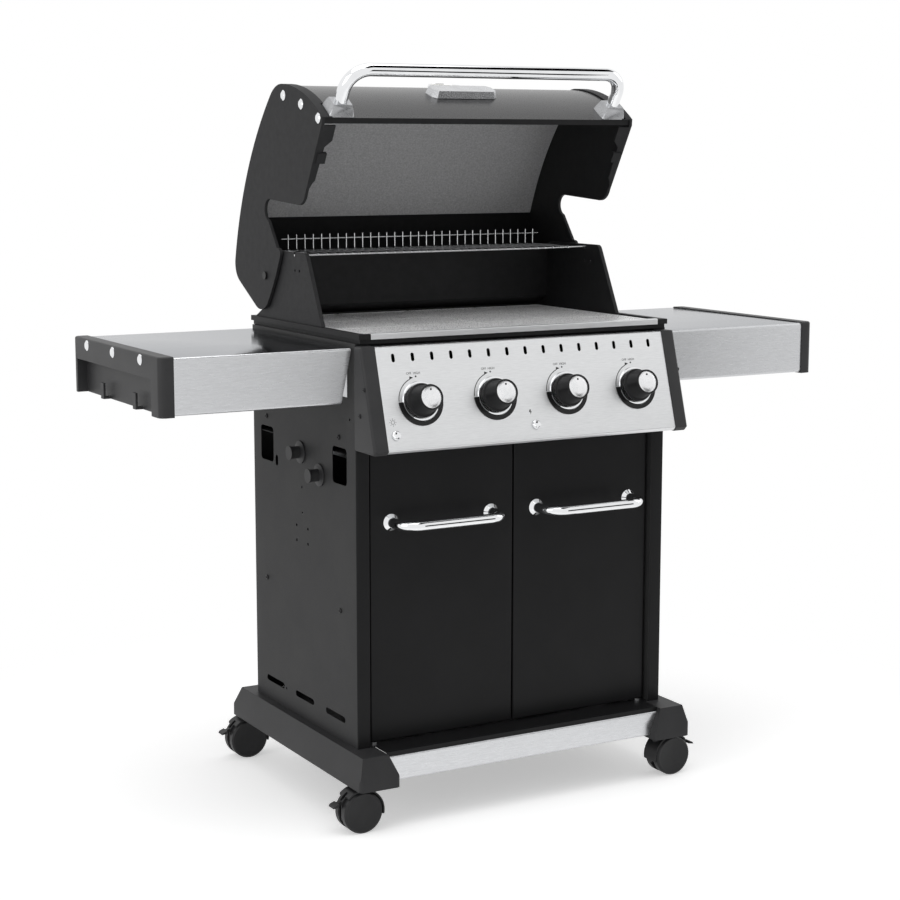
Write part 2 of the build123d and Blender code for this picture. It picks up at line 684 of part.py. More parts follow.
def side_panel():
    """Right-hand panel: sheet with front, rear and top flanges, openings and a tray runner."""
    section = strip(
        [(CART_X - REAR_FLANGE, CART_REAR), (CART_X, CART_REAR), (CART_X, CART_FRONT),
         (CART_X - FRONT_FLANGE, CART_FRONT), (CART_X - FRONT_FLANGE, CART_FRONT + FLANGE_RETURN)],
        SHEET_BEND, SHEET, Side.RIGHT,
    )
    panel = extrude(Pos(0, 0, RAIL_TOP) * section, amount=CART_TOP - RAIL_TOP)
    inner = CART_X - FRONT_FLANGE
    panel -= block(inner - 1, inner + SHEET_BEND, CART_FRONT + SHEET, CART_FRONT + FLANGE_RETURN + 1,
                   BRACE_BOTTOM - SEAT_GAP, CART_TOP + 1)
    front, rear = CART_FRONT + SHEET_BEND, CART_REAR - SHEET_BEND
    panel += block(CART_X - TOP_FLANGE, CART_INSIDE, front, rear, CART_TOP - SHEET, CART_TOP)
    runner_rear = CART_REAR - 2 * SHEET - SEAT_GAP
    panel += block(RUNNER_INNER, CART_INSIDE, TRAY_FRONT, runner_rear, RUNNER_Z - SHEET, RUNNER_Z)
    cuts = []
    for y in (-PASS_Y, PASS_Y):
        opening = Pos(y, CART_TOP - PASS_DROP) * RectangleRounded(PASS_WIDTH, PASS_HEIGHT, PASS_CORNER)
        cuts.append(along_x(opening, CART_INSIDE - 1, CART_X + 1))
    for i in (-1, 0, 1):
        place = Pos(i * FOOT_SLOT_PITCH, RAIL_TOP + FOOT_SLOT_RISE)
        slot = place * SlotOverall(FOOT_SLOT_LENGTH, FOOT_SLOT_HEIGHT)
        cuts.append(along_x(slot, CART_INSIDE - 1, CART_X + 1))
    y, z = ACCESSORY_PLACE[0], CART_TOP - ACCESSORY_PLACE[1]
    places = [(y + j * ACCESSORY_Y / 2, z + k * ACCESSORY_Z / 2) for j in (-1, 1) for k in (-1, 1)]
    cuts += x_holes(ACCESSORY_HOLE, places, CART_INSIDE - 1, CART_X + 1)
    places = [(y, CART_TOP - drop) for y, drop in SCREW_HOLES]
    cuts += x_holes(SCREW_HOLE, places, CART_INSIDE - 1, CART_X + 1)
    place = Pos(HOSE_SLOT[0], CART_TOP - HOSE_SLOT[1]) * Rot(0, 0, 90)
    slot = place * SlotOverall(HOSE_SLOT_LENGTH, HOSE_SLOT_WIDTH)
    cuts.append(along_x(slot, CART_INSIDE - 1, CART_X + 1))
    return panel - cuts


def rear_panel():
    """Back of the cabinet, with vents and the mouth of the grease tray."""
    half = CART_X - SHEET_BEND
    outside = CART_REAR - SHEET
    panel = block(-half, half, outside - SHEET, outside, BASE_TOP, CART_TOP - SHEET - SEAT_GAP)
    mouth = TRAY_HALF + TRAY_LIP + TRAY_MOUTH_GAP
    panel -= block(-mouth, mouth, outside - CUT, outside + CUT,
                   RUNNER_Z - TRAY_DEPTH - TRAY_MOUTH_GAP, RUNNER_Z + TRAY_MOUTH_HEAD)
    rows = [RAIL_TOP + VENT_FOOT + i * VENT_PITCH_Z for i in range(VENT_ROWS)]
    rows += [CART_TOP - VENT_HEAD - i * VENT_PITCH_Z for i in range(VENT_ROWS)]
    for z in rows:
        for i in range(VENT_COUNT):
            vent = Pos((i - (VENT_COUNT - 1) / 2) * VENT_PITCH_X, z) * SlotOverall(VENT_LENGTH, VENT_WIDTH)
            panel -= along_y(vent, outside - CUT, outside + CUT)
    return panel


def front_brace():
    """Channel behind the control panel that ties the side panels and holds the upper door pins."""
    outside = CART_FRONT + SHEET
    bottom = BRACE_BOTTOM
    section = strip(
        [(outside + BRACE_DEPTH, bottom), (outside, bottom), (outside, bottom + BRACE_HEIGHT),
         (outside + BRACE_LIP, bottom + BRACE_HEIGHT)],
        SHEET_BEND, SHEET, Side.RIGHT,
    )
    half = CART_X - SHEET_BEND
    brace = along_x(section, -half, half)
    hole = DOOR_PIN + RUNNING_FIT
    for x in (-DOOR_PIVOT_X, DOOR_PIVOT_X):
        brace -= rod((x, DOOR_PIVOT_Y, bottom - CUT), (x, DOOR_PIVOT_Y, bottom + CUT), hole)
    return brace


def door():
    """Right-hand door: a pan of sheet, open at the back, on pins near its outer edge."""
    inner = DOOR_SPLIT / 2
    back = DOOR_FRONT + DOOR_DEPTH
    pan = block(inner, DOOR_EDGE, DOOR_FRONT, back, DOOR_BOTTOM, DOOR_TOP)
    front_edges = pan.faces().sort_by(Axis.Y)[0].edges()
    pan = fillet(front_edges, SHEET_BEND)
    pan -= block(inner + SHEET, DOOR_EDGE - SHEET, DOOR_FRONT + SHEET, back + 1,
                 DOOR_BOTTOM + SHEET, DOOR_TOP - SHEET)
    hole = DOOR_PIN + RUNNING_FIT
    for z in (DOOR_BOTTOM, DOOR_TOP):
        pan -= rod((DOOR_PIVOT_X, DOOR_PIVOT_Y, z - CUT), (DOOR_PIVOT_X, DOOR_PIVOT_Y, z + CUT), hole)
    return pan


def door_handle():
    """Right-hand door handle: a bent tube on two rosettes."""
    foot = DOOR_FRONT - ROSETTE_HEIGHT
    front = DOOR_FRONT - DOOR_HANDLE_STANDOFF
    points = [
        (DOOR_HANDLE_START, foot, DOOR_HANDLE_Z), (DOOR_HANDLE_START, front, DOOR_HANDLE_Z),
        (DOOR_HANDLE_END, front, DOOR_HANDLE_Z), (DOOR_HANDLE_END, foot, DOOR_HANDLE_Z),
    ]
    path = FilletPolyline(*points, radius=DOOR_HANDLE_BEND)
    start = Plane(origin=path @ 0, z_dir=path % 0)
    pieces = [sweep(start * Circle(DOOR_HANDLE_TUBE), path=path)]
    profile = polygon(
        (0, 0), (ROSETTE_RADIUS, 0), (ROSETTE_RADIUS, ROSETTE_EDGE),
        (ROSETTE_RADIUS - ROSETTE_CONE, ROSETTE_HEIGHT), (0, ROSETTE_HEIGHT)
    )
    rosette = revolve(Plane.XZ * profile, axis=Axis.Z)
    for x in (DOOR_HANDLE_START, DOOR_HANDLE_END):
        plane = Plane(origin=(x, DOOR_FRONT, DOOR_HANDLE_Z), z_dir=(0, -1, 0))
        pieces.append(plane * rosette)
    return pieces


def grease_tray():
    """Shallow tray with side lips and a rear face, slid in from the back."""
    top = RUNNER_Z + SEAT_GAP
    rear = CART_REAR - SHEET + SEAT_GAP
    bottom = top - TRAY_DEPTH
    tray = block(-TRAY_HALF, TRAY_HALF, TRAY_FRONT, rear, bottom, top + TRAY_SHEET)
    lip = TRAY_HALF + TRAY_LIP
    tray += block(-lip, lip, TRAY_FRONT, rear, top, top + TRAY_SHEET)
    tray -= block(-TRAY_HALF + TRAY_SHEET, TRAY_HALF - TRAY_SHEET, TRAY_FRONT + TRAY_SHEET,
                  rear - TRAY_SHEET, bottom + TRAY_SHEET, top + CUT)
    face = lip + TRAY_FACE_LAP
    face_bottom = bottom - TRAY_FACE_DROP
    face_top = face_bottom + TRAY_FACE
    tray += block(-face, face, rear, rear + TRAY_SHEET, face_bottom, face_top)
    pull = TRAY_PULL / 2
    return tray + block(-pull, pull, rear, rear + TRAY_PULL_DEPTH, face_top - TRAY_SHEET, face_top)


# Control panel

def control_panel():
    """Sloping fascia with vent slots and holes for the valves and push buttons."""
    back = CART_FRONT - SEAT_GAP
    bottom = PANEL_BOTTOM_Z - PANEL_LIP
    section = strip(
        [(back, PANEL_TOP_Z), (PANEL_TOP_Y, PANEL_TOP_Z), (PANEL_BOTTOM_Y, PANEL_BOTTOM_Z),
         (PANEL_BOTTOM_Y + PANEL_LIP, bottom), (back, bottom)],
        SHEET_BEND, SHEET, Side.LEFT,
    )
    panel = along_x(section, -PANEL_HALF, PANEL_HALF)
    cuts = []
    for i in range(SLOT_COUNT):
        x = (i - (SLOT_COUNT - 1) / 2) * SLOT_PITCH
        slot = Pos(x, -SLOT_DROP) * SlotOverall(SLOT_LENGTH, SLOT_WIDTH, rotation=90)
        cuts.append(extrude(slot, amount=CUT, both=True))
    for x in KNOB_X:
        cuts.append(Pos(x, -KNOB_DROP) * Cylinder(STEM_HOLE, 2 * CUT))
    for x in (LIGHT_BUTTON_X, IGNITION_BUTTON_X):
        cuts.append(Pos(x, -BUTTON_DROP) * Cylinder(BUTTON_RADIUS + SEAT_GAP, 2 * CUT))
    return panel - [on_fascia(cut) for cut in cuts]


def control_panel_cap():
    """Right-hand plastic cap: a hollow moulding with the section of the panel."""
    proud = PANEL_CAP_PROUD
    bottom = PANEL_BOTTOM_Z - PANEL_LIP - proud
    section = polygon(
        (CART_FRONT, PANEL_TOP_Z + proud), (PANEL_TOP_Y - proud, PANEL_TOP_Z + proud),
        (PANEL_BOTTOM_Y - proud, PANEL_BOTTOM_Z), (PANEL_BOTTOM_Y + PANEL_LIP, bottom), (CART_FRONT, bottom)
    )
    inner = PANEL_HALF + SEAT_GAP
    cap = along_x(section, inner, PANEL_CAP_OUTER)
    outer_edges = cap.faces().sort_by(Axis.X)[-1].edges()
    cap = fillet(outer_edges.filter_by(lambda e: e.center().Y < CART_FRONT - 1), PANEL_CAP_ROUND)
    hollow = offset(section, amount=-PANEL_CAP_WALL, kind=Kind.INTERSECTION)
    hollow += Pos(2 * PANEL_CAP_WALL, 0) * hollow
    return cap - along_x(hollow, inner - 1, PANEL_CAP_OUTER - PANEL_CAP_WALL)


def knob(x):
    """Tapered knob with a bright insert, on its shaft."""
    bore = SHAFT_RADIUS + RUNNING_FIT
    depth = KNOB_HEIGHT - KNOB_CROWN
    skirt = KNOB_LIFT + KNOB_SKIRT
    profile = polygon(
        (bore, KNOB_LIFT), (KNOB_BASE, KNOB_LIFT), (KNOB_BASE, skirt - 1), (KNOB_BASE - KNOB_EDGE, skirt),
        (KNOB_BASE - KNOB_WAIST, skirt), (KNOB_TIP, KNOB_HEIGHT - KNOB_EDGE),
        (KNOB_TIP - KNOB_EDGE, KNOB_HEIGHT),
        (INSERT_RADIUS, KNOB_HEIGHT), (INSERT_RADIUS, KNOB_HEIGHT - INSERT_DEPTH),
        (0, KNOB_HEIGHT - INSERT_DEPTH), (0, depth), (bore, depth)
    )
    body = revolve(Plane.XZ * profile, axis=Axis.Z)
    insert = Pos(0, 0, KNOB_HEIGHT - INSERT_DEPTH) * Cylinder(
        INSERT_RADIUS - RUNNING_FIT, INSERT_DEPTH, align=MIN_CENTRE
    )
    shaft = Pos(0, 0, -SHAFT_TAIL) * Cylinder(SHAFT_RADIUS, SHAFT_TAIL + depth, align=MIN_CENTRE)
    return [on_fascia(Pos(x, -KNOB_DROP) * piece) for piece in (body, insert, shaft)]


def valve_collar(x):
    """Sprung collar that lets a shaft be pushed in before it is turned."""
    collar = Cylinder(COLLAR_RADIUS, COLLAR_LENGTH, align=(Align.CENTER, Align.CENTER, Align.MAX))
    collar -= Cylinder(SHAFT_RADIUS + RUNNING_FIT, 3 * COLLAR_LENGTH)
    return on_fascia(Pos(x, -KNOB_DROP, -COLLAR_START) * collar)


def knob_bezels():
    """Bright ring round each knob and the half ring of a lamp below it."""
    pieces = []
    profile = polygon(
        (BEZEL_BORE, 0), (BEZEL_RADIUS, 0), (BEZEL_RADIUS - BEZEL_EDGE, BEZEL_HEIGHT),
        (BEZEL_BORE, BEZEL_HEIGHT)
    )
    ring = revolve(Plane.XZ * profile, axis=Axis.Z)
    lamp = Circle(LIGHT_RING_RADIUS) - Circle(BEZEL_RADIUS + SEAT_GAP)
    lamp -= Pos(0, LIGHT_RING_RADIUS) * Rectangle(2 * LIGHT_RING_RADIUS, 2 * LIGHT_RING_RADIUS)
    for x in KNOB_X:
        pieces.append(on_fascia(Pos(x, -KNOB_DROP) * ring))
        pieces.append(on_fascia(Pos(x, -KNOB_DROP) * extrude(lamp, amount=LIGHT_RING_HEIGHT)))
    return pieces


def manifold_axis():
    """Middle of the manifold as (y, z), straight behind the knobs."""
    middle = on_fascia(Pos(0, -KNOB_DROP, -MANIFOLD_BACK)).position
    return middle.Y, middle.Z


def gas_manifold():
    """Gas pipe behind the panel, with its inlet turned down and back into the cabinet."""
    y, z = manifold_axis()
    wall = MANIFOLD_RADIUS - MANIFOLD_BORE
    pipe = rod((-MANIFOLD_HALF, y, z), (MANIFOLD_HALF, y, z), MANIFOLD_RADIUS)
    pipe -= rod((-MANIFOLD_HALF + wall, y, z), (MANIFOLD_HALF - wall, y, z), MANIFOLD_BORE)
    place = Plane(origin=(INLET_X, y, z), z_dir=(0, 1, -1)).location
    length = MANIFOLD_RADIUS + INLET_LENGTH
    inlet = Cylinder(INLET_RADIUS, length, align=MIN_CENTRE)
    nut = RegularPolygon(INLET_RADIUS + INLET_NUT_PROUD, 6)
    inlet += Pos(0, 0, MANIFOLD_RADIUS) * extrude(nut, amount=INLET_NUT)
    bore = Cylinder(INLET_BORE, length, align=MIN_CENTRE)
    return pipe + place * inlet - place * bore


def gas_valve(x):
    """Valve body between the fascia and the manifold, with its jet towards the burner."""
    back = SHEET
    body = Pos(0, 0, -MANIFOLD_BACK) * Cylinder(VALVE_RADIUS, MANIFOLD_BACK - back, align=MIN_CENTRE)
    flange = Cylinder(VALVE_FLANGE, VALVE_FLANGE_HEIGHT, align=MIN_CENTRE)
    flange = Pos(0, 0, -back - VALVE_FLANGE_HEIGHT) * flange
    valve = on_fascia(Pos(x, -KNOB_DROP) * (body + flange))
    axis_y, axis_z = manifold_axis()
    jet_start = on_fascia(Pos(0, -KNOB_DROP, -MANIFOLD_BACK / 3)).position.Y
    valve += rod((x, jet_start, BURNER_Z), (x, VENTURI_FRONT + SPUD_REACH, BURNER_Z), SPUD_RADIUS)
    pipe = MANIFOLD_RADIUS + RUNNING_FIT
    valve -= rod((x - KNOB_BASE, axis_y, axis_z), (x + KNOB_BASE, axis_y, axis_z), pipe)
    well = COLLAR_START + COLLAR_LENGTH + KNOB_PUSH + SEAT_GAP
    cuts = [
        Pos(0, 0, -well) * Cylinder(COLLAR_RADIUS + SEAT_GAP, well, align=MIN_CENTRE),
        Pos(0, 0, -SHAFT_TAIL - KNOB_PUSH - 1) * Cylinder(
            SHAFT_RADIUS + RUNNING_FIT, SHAFT_TAIL + KNOB_PUSH, align=MIN_CENTRE),
    ]
    return valve - [on_fascia(Pos(x, -KNOB_DROP) * cut) for cut in cuts]


def push_button(x):
    """Button cap with a tail that slides in its module."""
    head = Pos(0, 0, -BUTTON_TAIL) * Cylinder(BUTTON_RADIUS, BUTTON_TAIL + BUTTON_HEIGHT, align=MIN_CENTRE)
    head = chamfer(head.edges().sort_by(Axis.Z)[-1], BUTTON_EDGE)
    return on_fascia(Pos(x, -BUTTON_DROP) * head)


def button_module(x):
    """Closed cup behind a button: the igniter, or the switch of the knob lamps."""
    cup = Pos(0, 0, -MODULE_DEPTH) * Cylinder(MODULE_RADIUS, MODULE_DEPTH - SHEET, align=MIN_CENTRE)
    well = BUTTON_TAIL + BUTTON_PUSH + 1
    cup -= Pos(0, 0, -well) * Cylinder(BUTTON_RADIUS + SEAT_GAP, well, align=MIN_CENTRE)
    return on_fascia(Pos(x, -BUTTON_DROP) * cup)


# Cook box

def tub_form(inset):
    """Funnel-shaped outside of the firebox, drawn in by the wall for its inside."""
    knee = TUB_KNEE_Z + inset
    middle = (TUB_KNEE_FRONT + TUB_KNEE_REAR) / 2
    half, knee_half, outlet_half = TUB_HALF - inset, TUB_KNEE_HALF - inset, TUB_OUTLET_X / 2 - inset
    across = polygon((-outlet_half, TUB_OUTLET_Z), (outlet_half, TUB_OUTLET_Z), (knee_half, knee),
                     (half, RIM_TOP), (-half, RIM_TOP), (-knee_half, knee))
    outlet = TUB_OUTLET_Y / 2 - inset
    along = polygon((middle - outlet, TUB_OUTLET_Z), (middle + outlet, TUB_OUTLET_Z),
                    (TUB_KNEE_REAR - inset, knee), (TUB_REAR - inset, RIM_TOP),
                    (TUB_FRONT + inset, RIM_TOP), (TUB_KNEE_FRONT + inset, knee))
    return along_x(along, -half, half) & along_y(across, TUB_FRONT, TUB_REAR)


def tub_inside(z):
    """Front and rear inside faces of the firebox at a height, as y values."""
    share = (z - TUB_KNEE_Z - FIREBOX_WALL) / (RIM_TOP - TUB_KNEE_Z - FIREBOX_WALL)
    front = TUB_KNEE_FRONT + share * (TUB_FRONT - TUB_KNEE_FRONT) + FIREBOX_WALL
    rear = TUB_KNEE_REAR + share * (TUB_REAR - TUB_KNEE_REAR) - FIREBOX_WALL
    return front, rear


def firebox():
    """Cast tub with a rim that hangs on the side panels and a ledge for the grates."""
    rim = block(-RIM_HALF, RIM_HALF, RIM_FRONT, RIM_REAR, RIM_TOP - RIM_PLATE, RIM_TOP)
    neck = RIM_HALF - RIM_NECK
    rim += block(-neck, neck, RIM_FRONT + RIM_NECK, RIM_REAR - RIM_NECK, CART_TOP, RIM_TOP - RIM_PLATE)
    box = tub_form(0) + rim - tub_form(FIREBOX_WALL)
    ledge = GRATE_TOP - GRATE_THICKNESS
    half = GRATE_HALF + GRATE_ROOM
    box -= block(-half, half, GRATE_FRONT - GRATE_ROOM, GRATE_REAR + GRATE_ROOM, ledge, RIM_TOP + 1)
    for x in KNOB_X:
        box -= rod((x, TUB_FRONT - CUT, BURNER_Z), (x, 0, BURNER_Z), VENTURI_RADIUS + SEAT_GAP)
    return box


def firebox_front_trim():
    """Stainless strip along the front of the rim."""
    outside = RIM_FRONT - SHEET
    top = RIM_TOP + SHEET
    section = strip(
        [(RIM_FRONT + STRIP_RETURN, top), (outside, top), (outside, STRIP_BOTTOM)], STRIP_BEND, SHEET, Side.LEFT
    )
    return along_x(section, -STRIP_HALF, STRIP_HALF) - block(
        -RIM_HALF, RIM_HALF, RIM_FRONT, RIM_REAR, CART_TOP, RIM_TOP)


def cooking_grate(index):
    """Cast grate: a frame with bars from front to back and a few cross bars."""
    width = 2 * GRATE_HALF / GRATE_COUNT
    left = -GRATE_HALF + index * width
    x0, x1 = left + GRATE_ROOM / 2, left + width - GRATE_ROOM / 2
    face = Pos((x0 + x1) / 2, (GRATE_FRONT + GRATE_REAR) / 2) * Rectangle(x1 - x0, GRATE_REAR - GRATE_FRONT)
    clear = x1 - x0 - 2 * GRATE_BORDER
    gap = (clear - GRATE_BARS * GRATE_BAR) / (GRATE_BARS + 1)
    rows = (GRATE_REAR - GRATE_FRONT - 2 * GRATE_BORDER - (GRATE_ROWS - 1) * GRATE_BAR) / GRATE_ROWS
    holes = []
    for i in range(GRATE_BARS + 1):
        x = x0 + GRATE_BORDER + i * (gap + GRATE_BAR) + gap / 2
        for j in range(GRATE_ROWS):
            y = GRATE_FRONT + GRATE_BORDER + j * (rows + GRATE_BAR) + rows / 2
            holes.append(Pos(x, y) * Rectangle(gap, rows))
    return extrude(Pos(0, 0, GRATE_TOP - GRATE_THICKNESS) * (face - holes), amount=GRATE_THICKNESS)


def heat_plate(x):
    """Inverted V of sheet over a burner, from wall to wall of the firebox."""
    half = HEAT_PLATE_WIDTH / 2
    section = strip(
        [(x - half, HEAT_PLATE_Z), (x, HEAT_PLATE_Z + HEAT_PLATE_RISE), (x + half, HEAT_PLATE_Z)],
        HEAT_PLATE_BEND, HEAT_PLATE_SHEET, Side.RIGHT,
    )
    front, rear = tub_inside(HEAT_PLATE_Z)
    start = front + SEAT_GAP
    return along_y(section, start, rear - SEAT_GAP)


def burner(x):
    """Tube burner with a venturi that reaches forward through the firebox wall."""
    front, rear = tub_inside(BURNER_Z - BURNER_RADIUS)
    start = front + BURNER_START
    tube = rod((x, start, BURNER_Z), (x, rear - SEAT_GAP, BURNER_Z), BURNER_RADIUS)
    tube += rod((x, VENTURI_FRONT, BURNER_Z), (x, start + 1, BURNER_Z), VENTURI_RADIUS)
    tube -= rod((x, VENTURI_FRONT - 1, BURNER_Z), (x, start + VENTURI_BORE_END, BURNER_Z), VENTURI_BORE)
    return tube


def cook_box_side():
    """Raised right-hand end wall with notches for the rack and a bore for the lid bolt."""
    outline = polygon(
        (WALL_FOOT_FRONT, RIM_TOP), (WALL_SHOULDER, WALL_TOP), (WALL_REAR, WALL_TOP),
        (WALL_REAR, BACK_KNEE_Z), (BACK_FOOT_Y, RIM_TOP)
    )
    upper = outline.vertices().filter_by(lambda v: v.Y > BACK_KNEE_Z + 1)
    outline = fillet(upper, WALL_CORNER)
    for y in (RACK_FRONT, RACK_REAR):
        notch = Pos(y, WALL_TOP) * Rectangle(RACK_ROD + 1, 2 * RACK_NOTCH)
        outline -= notch
    wall = along_x(outline, WALL_INNER, WALL_OUTER)
    wall -= rod((WALL_INNER - 1, *LID_PIVOT), (WALL_OUTER + 1, *LID_PIVOT), LID_PIN)
    places = [(WALL_SHOULDER + back, WALL_TOP - drop) for back, drop in WALL_HOLES]
    return wall - x_holes(WALL_HOLE, places, WALL_INNER - 1, WALL_OUTER + 1)


def cook_box_back():
    """Rear wall: sheet that rises from the rim, slopes forward and stands up behind the rack."""
    face = WALL_REAR - BACK_SHEET
    section = strip(
        [(BACK_FOOT_Y + BACK_FOOT, RIM_TOP), (BACK_FOOT_Y, RIM_TOP), (face, BACK_KNEE_Z), (face, BACK_TOP)],
        SHEET_BEND, BACK_SHEET, Side.RIGHT,
    )
    return along_x(section, -WALL_INNER, WALL_INNER)


def warming_rack():
    """Welded wire rack: bent wires on two rods, with a fence and its rail behind."""
    rod_bottom = WALL_TOP - RACK_NOTCH
    deck = rod_bottom + RACK_ROD
    half = RACK_ROD / 2
    rack = []
    for y in (RACK_FRONT, RACK_REAR):
        rack.append(block(-WALL_OUTER, WALL_OUTER, y - half, y + half, rod_bottom, deck))
    end = (RACK_WIRES - 1) / 2 * RACK_PITCH + RACK_END
    middle, thin = (RACK_FRONT + RACK_REAR) / 2, RACK_MIDDLE_ROD / 2
    rack.append(block(-end, end, middle - thin, middle + thin, deck - RACK_MIDDLE_ROD, deck))
    wire = RACK_WIRE / 2
    for i in range(RACK_WIRES):
        x = (i - (RACK_WIRES - 1) / 2) * RACK_PITCH
        low = deck - RACK_SINK
        rack.append(block(x - wire, x + wire, RACK_FRONT - RACK_NOSE, RACK_REAR - half, low, low + RACK_WIRE))
        rack.append(block(x - wire, x + wire, RACK_REAR - half, RACK_REAR - half + RACK_WIRE,
                          low, deck + FENCE_HEIGHT))
    rail_z = deck + FENCE_HEIGHT - FENCE_RAIL_DROP
    rail_y = RACK_REAR - half + RACK_WIRE - RACK_SINK / 2
    rack.append(block(-end, end, rail_y, rail_y + RACK_MIDDLE_ROD, rail_z - thin, rail_z + thin))
    return rack[0].fuse(*rack[1:])


# Lid, drawn open

def lid_at(*places):
    """Points of the lid's drawing at their real (y, z)."""
    return [(LID_PIVOT[0] + y * LID_SCALE, LID_PIVOT[1] + z * LID_SCALE) for y, z in places]


def lid_line(start, end):
    """Straight edge of the lid."""
    return Line(*lid_at(start, end))


def lid_arc(start, middle, end):
    """Curved edge of the lid through three points."""
    return ThreePointArc(*lid_at(start, middle, end))


def lid_curves():
    """Outer curves of the lid from the lip over the crown to the heel."""
    front = lid_arc(LIP_TOP, FRONT_MIDDLE, CROWN_FRONT)
    crown = TangentArc(*lid_at(CROWN_FRONT, CROWN_BACK), tangent=front % 1)
    back = TangentArc(*lid_at(CROWN_BACK, BACK_END), tangent=crown % 1)
    heel = TangentArc(*lid_at(BACK_END, HEEL), tangent=back % 1)
    return front, crown, back, heel


def lid_end():
    """Right-hand end plate: closed by the lid curves, with a flap, a notch and a hinge lug."""
    front, crown, back, heel = lid_curves()
    outline = Curve() + [
        lid_line(LIP_BOTTOM, LIP_TOP), front, crown, back, heel, lid_line(HEEL, LUG_BACK),
        lid_arc(LUG_BACK, LUG_BOTTOM, LUG_FRONT), lid_arc(LUG_FRONT, LUG_MIDDLE, LUG_TOP),
        lid_arc(LUG_TOP, LUG_NOSE, NOTCH_FRONT), lid_line(NOTCH_FRONT, NOTCH_BACK),
        lid_arc(NOTCH_BACK, NOTCH_CORNER, NOTCH_TOP), lid_line(NOTCH_TOP, FLAP_BOTTOM),
        lid_arc(FLAP_BOTTOM, FLAP_CORNER, FLAP_FRONT), lid_line(FLAP_FRONT, LIP_BOTTOM),
    ]
    plate = along_x(make_face(outline), LID_HALF - LID_PLATE, LID_HALF)
    plate += along_x(lid_band(front, crown, back), LID_HALF - LID_PLATE - LID_BAND, LID_HALF)
    plate -= plinth_room()
    lip, flap = [Vector(0, *point) for point in lid_at(LIP_BOTTOM, FLAP_FRONT)]
    face = Vector(LID_HALF - LID_PLATE, 0, 0)
    edge = Plane(origin=lip + face, x_dir=flap - lip, z_dir=(flap - lip).cross(Vector(-1, 0, 0)))
    rim = polygon(*LID_FLANGE_OUTLINE)
    plate += extrude(edge * rim, amount=LID_FLANGE)
    start, end = LID_BUMPER
    bumper = polygon((start, 0), (start, LID_BUMPER_WIDTH), (end, LID_BUMPER_WIDTH), (end, 0))
    plate += extrude(edge.offset(-LID_BUMPER_PROUD) * bumper, amount=LID_BUMPER_PROUD + LID_FLANGE)
    bore = LID_PIN + RUNNING_FIT
    return plate - rod((LID_HALF - LID_PLATE - CUT, *LID_PIVOT), (LID_HALF + CUT, *LID_PIVOT), bore)


def lid_band(front, crown, back):
    """Section of the flange that laps over the skin from the handle to the heel."""
    outside = Wire([*front.edges(), *crown.edges(), *back.edges()])
    return make_face(outside.offset_2d(LID_EDGE - SEAT_GAP, side=Side.RIGHT, closed=True).edges())


def plinth_room():
    """Space kept clear of the end plate's band round the right-hand handle plinth."""
    half = PLINTH_WIDTH / 2 + PLINTH_ROOM
    long = PLINTH_LENGTH / 2 + PLINTH_ROOM
    room = block(HANDLE_HALF - half, HANDLE_HALF + half, -long, long, -LID_EDGE, PLINTH_HEIGHT)
    return lid_front_plane(HANDLE_AT).location * room


def lid_skin():
    """Bent sheet between the end plates, with a lip in front and a hole for the gauge."""
    front, crown, back, heel = lid_curves()
    curves = [lid_line(LIP_BOTTOM, LIP_TOP), front, crown, back, heel, lid_line(HEEL, LUG_BACK)]
    outside = Wire([edge for curve in curves for edge in curve.edges()])
    face = outside.offset_2d(LID_EDGE, side=Side.RIGHT, closed=False)
    section = make_face(face.offset_2d(LID_SKIN, side=Side.RIGHT, closed=True).edges())
    half = LID_HALF - LID_PLATE
    return along_x(section, -half, half) - gauge_hole()


def lid_liner():
    """Inner sheet of the lid, held between the end plates."""
    front, crown, back, heel = lid_curves()
    curves = [front.edge().trim(LINER_START, 1), crown.edge(), back.edge().trim(0, LINER_END)]
    gap = LID_EDGE + LID_SKIN + LID_LINER_GAP
    face = Wire(curves).offset_2d(gap, side=Side.RIGHT, closed=False)
    section = make_face(face.offset_2d(LID_LINER, side=Side.RIGHT, closed=True).edges())
    half = LID_HALF - LID_PLATE
    return along_x(section, -half, half) - gauge_hole()


def lid_front_plane(share):
    """Plane on the skin at a share of the front curve: x across, z outwards."""
    front = lid_curves()[0]
    point, run = front @ share, front % share
    out = Vector(0, -run.Y, run.X)
    seat = Vector(0, point.X, point.Y) - out * LID_EDGE
    return Plane(origin=seat, x_dir=(1, 0, 0), z_dir=out)


def gauge_plane():
    """Plane on the skin under the gauge, a set distance behind the nameplate."""
    step = NAMEPLATE_LENGTH / 2 + GAUGE_GAP + GAUGE_RADIUS
    return lid_front_plane(NAMEPLATE_AT + step / lid_curves()[0].length)


def gauge_hole():
    """Hole through skin and liner for the stem of the gauge."""
    return gauge_plane().location * Cylinder(GAUGE_STEM + GAUGE_STEM_ROOM, 2 * GAUGE_STEM_LENGTH)


def lid_handle():
    """Bent tube on two plinths near the lip."""
    plane = lid_front_plane(HANDLE_AT)
    tall = Plane(origin=plane.origin, x_dir=(1, 0, 0), z_dir=plane.y_dir * -1)
    line = FilletPolyline(
        (-HANDLE_HALF, PLINTH_HEIGHT), (-HANDLE_HALF, HANDLE_STANDOFF), (HANDLE_HALF, HANDLE_STANDOFF),
        (HANDLE_HALF, PLINTH_HEIGHT), radius=HANDLE_BEND,
    )
    path = tall.location * line
    start = Plane(origin=path @ 0, z_dir=path % 0)
    pieces = [sweep(start * Circle(HANDLE_TUBE), path=path)]
    foot = RectangleRounded(PLINTH_WIDTH, PLINTH_LENGTH, PLINTH_CORNER)
    plinth = extrude(foot, amount=PLINTH_HEIGHT, taper=PLINTH_TAPER)
    for x in (-HANDLE_HALF, HANDLE_HALF):
        pieces.append(plane.location * Pos(x, 0) * plinth)
    return pieces


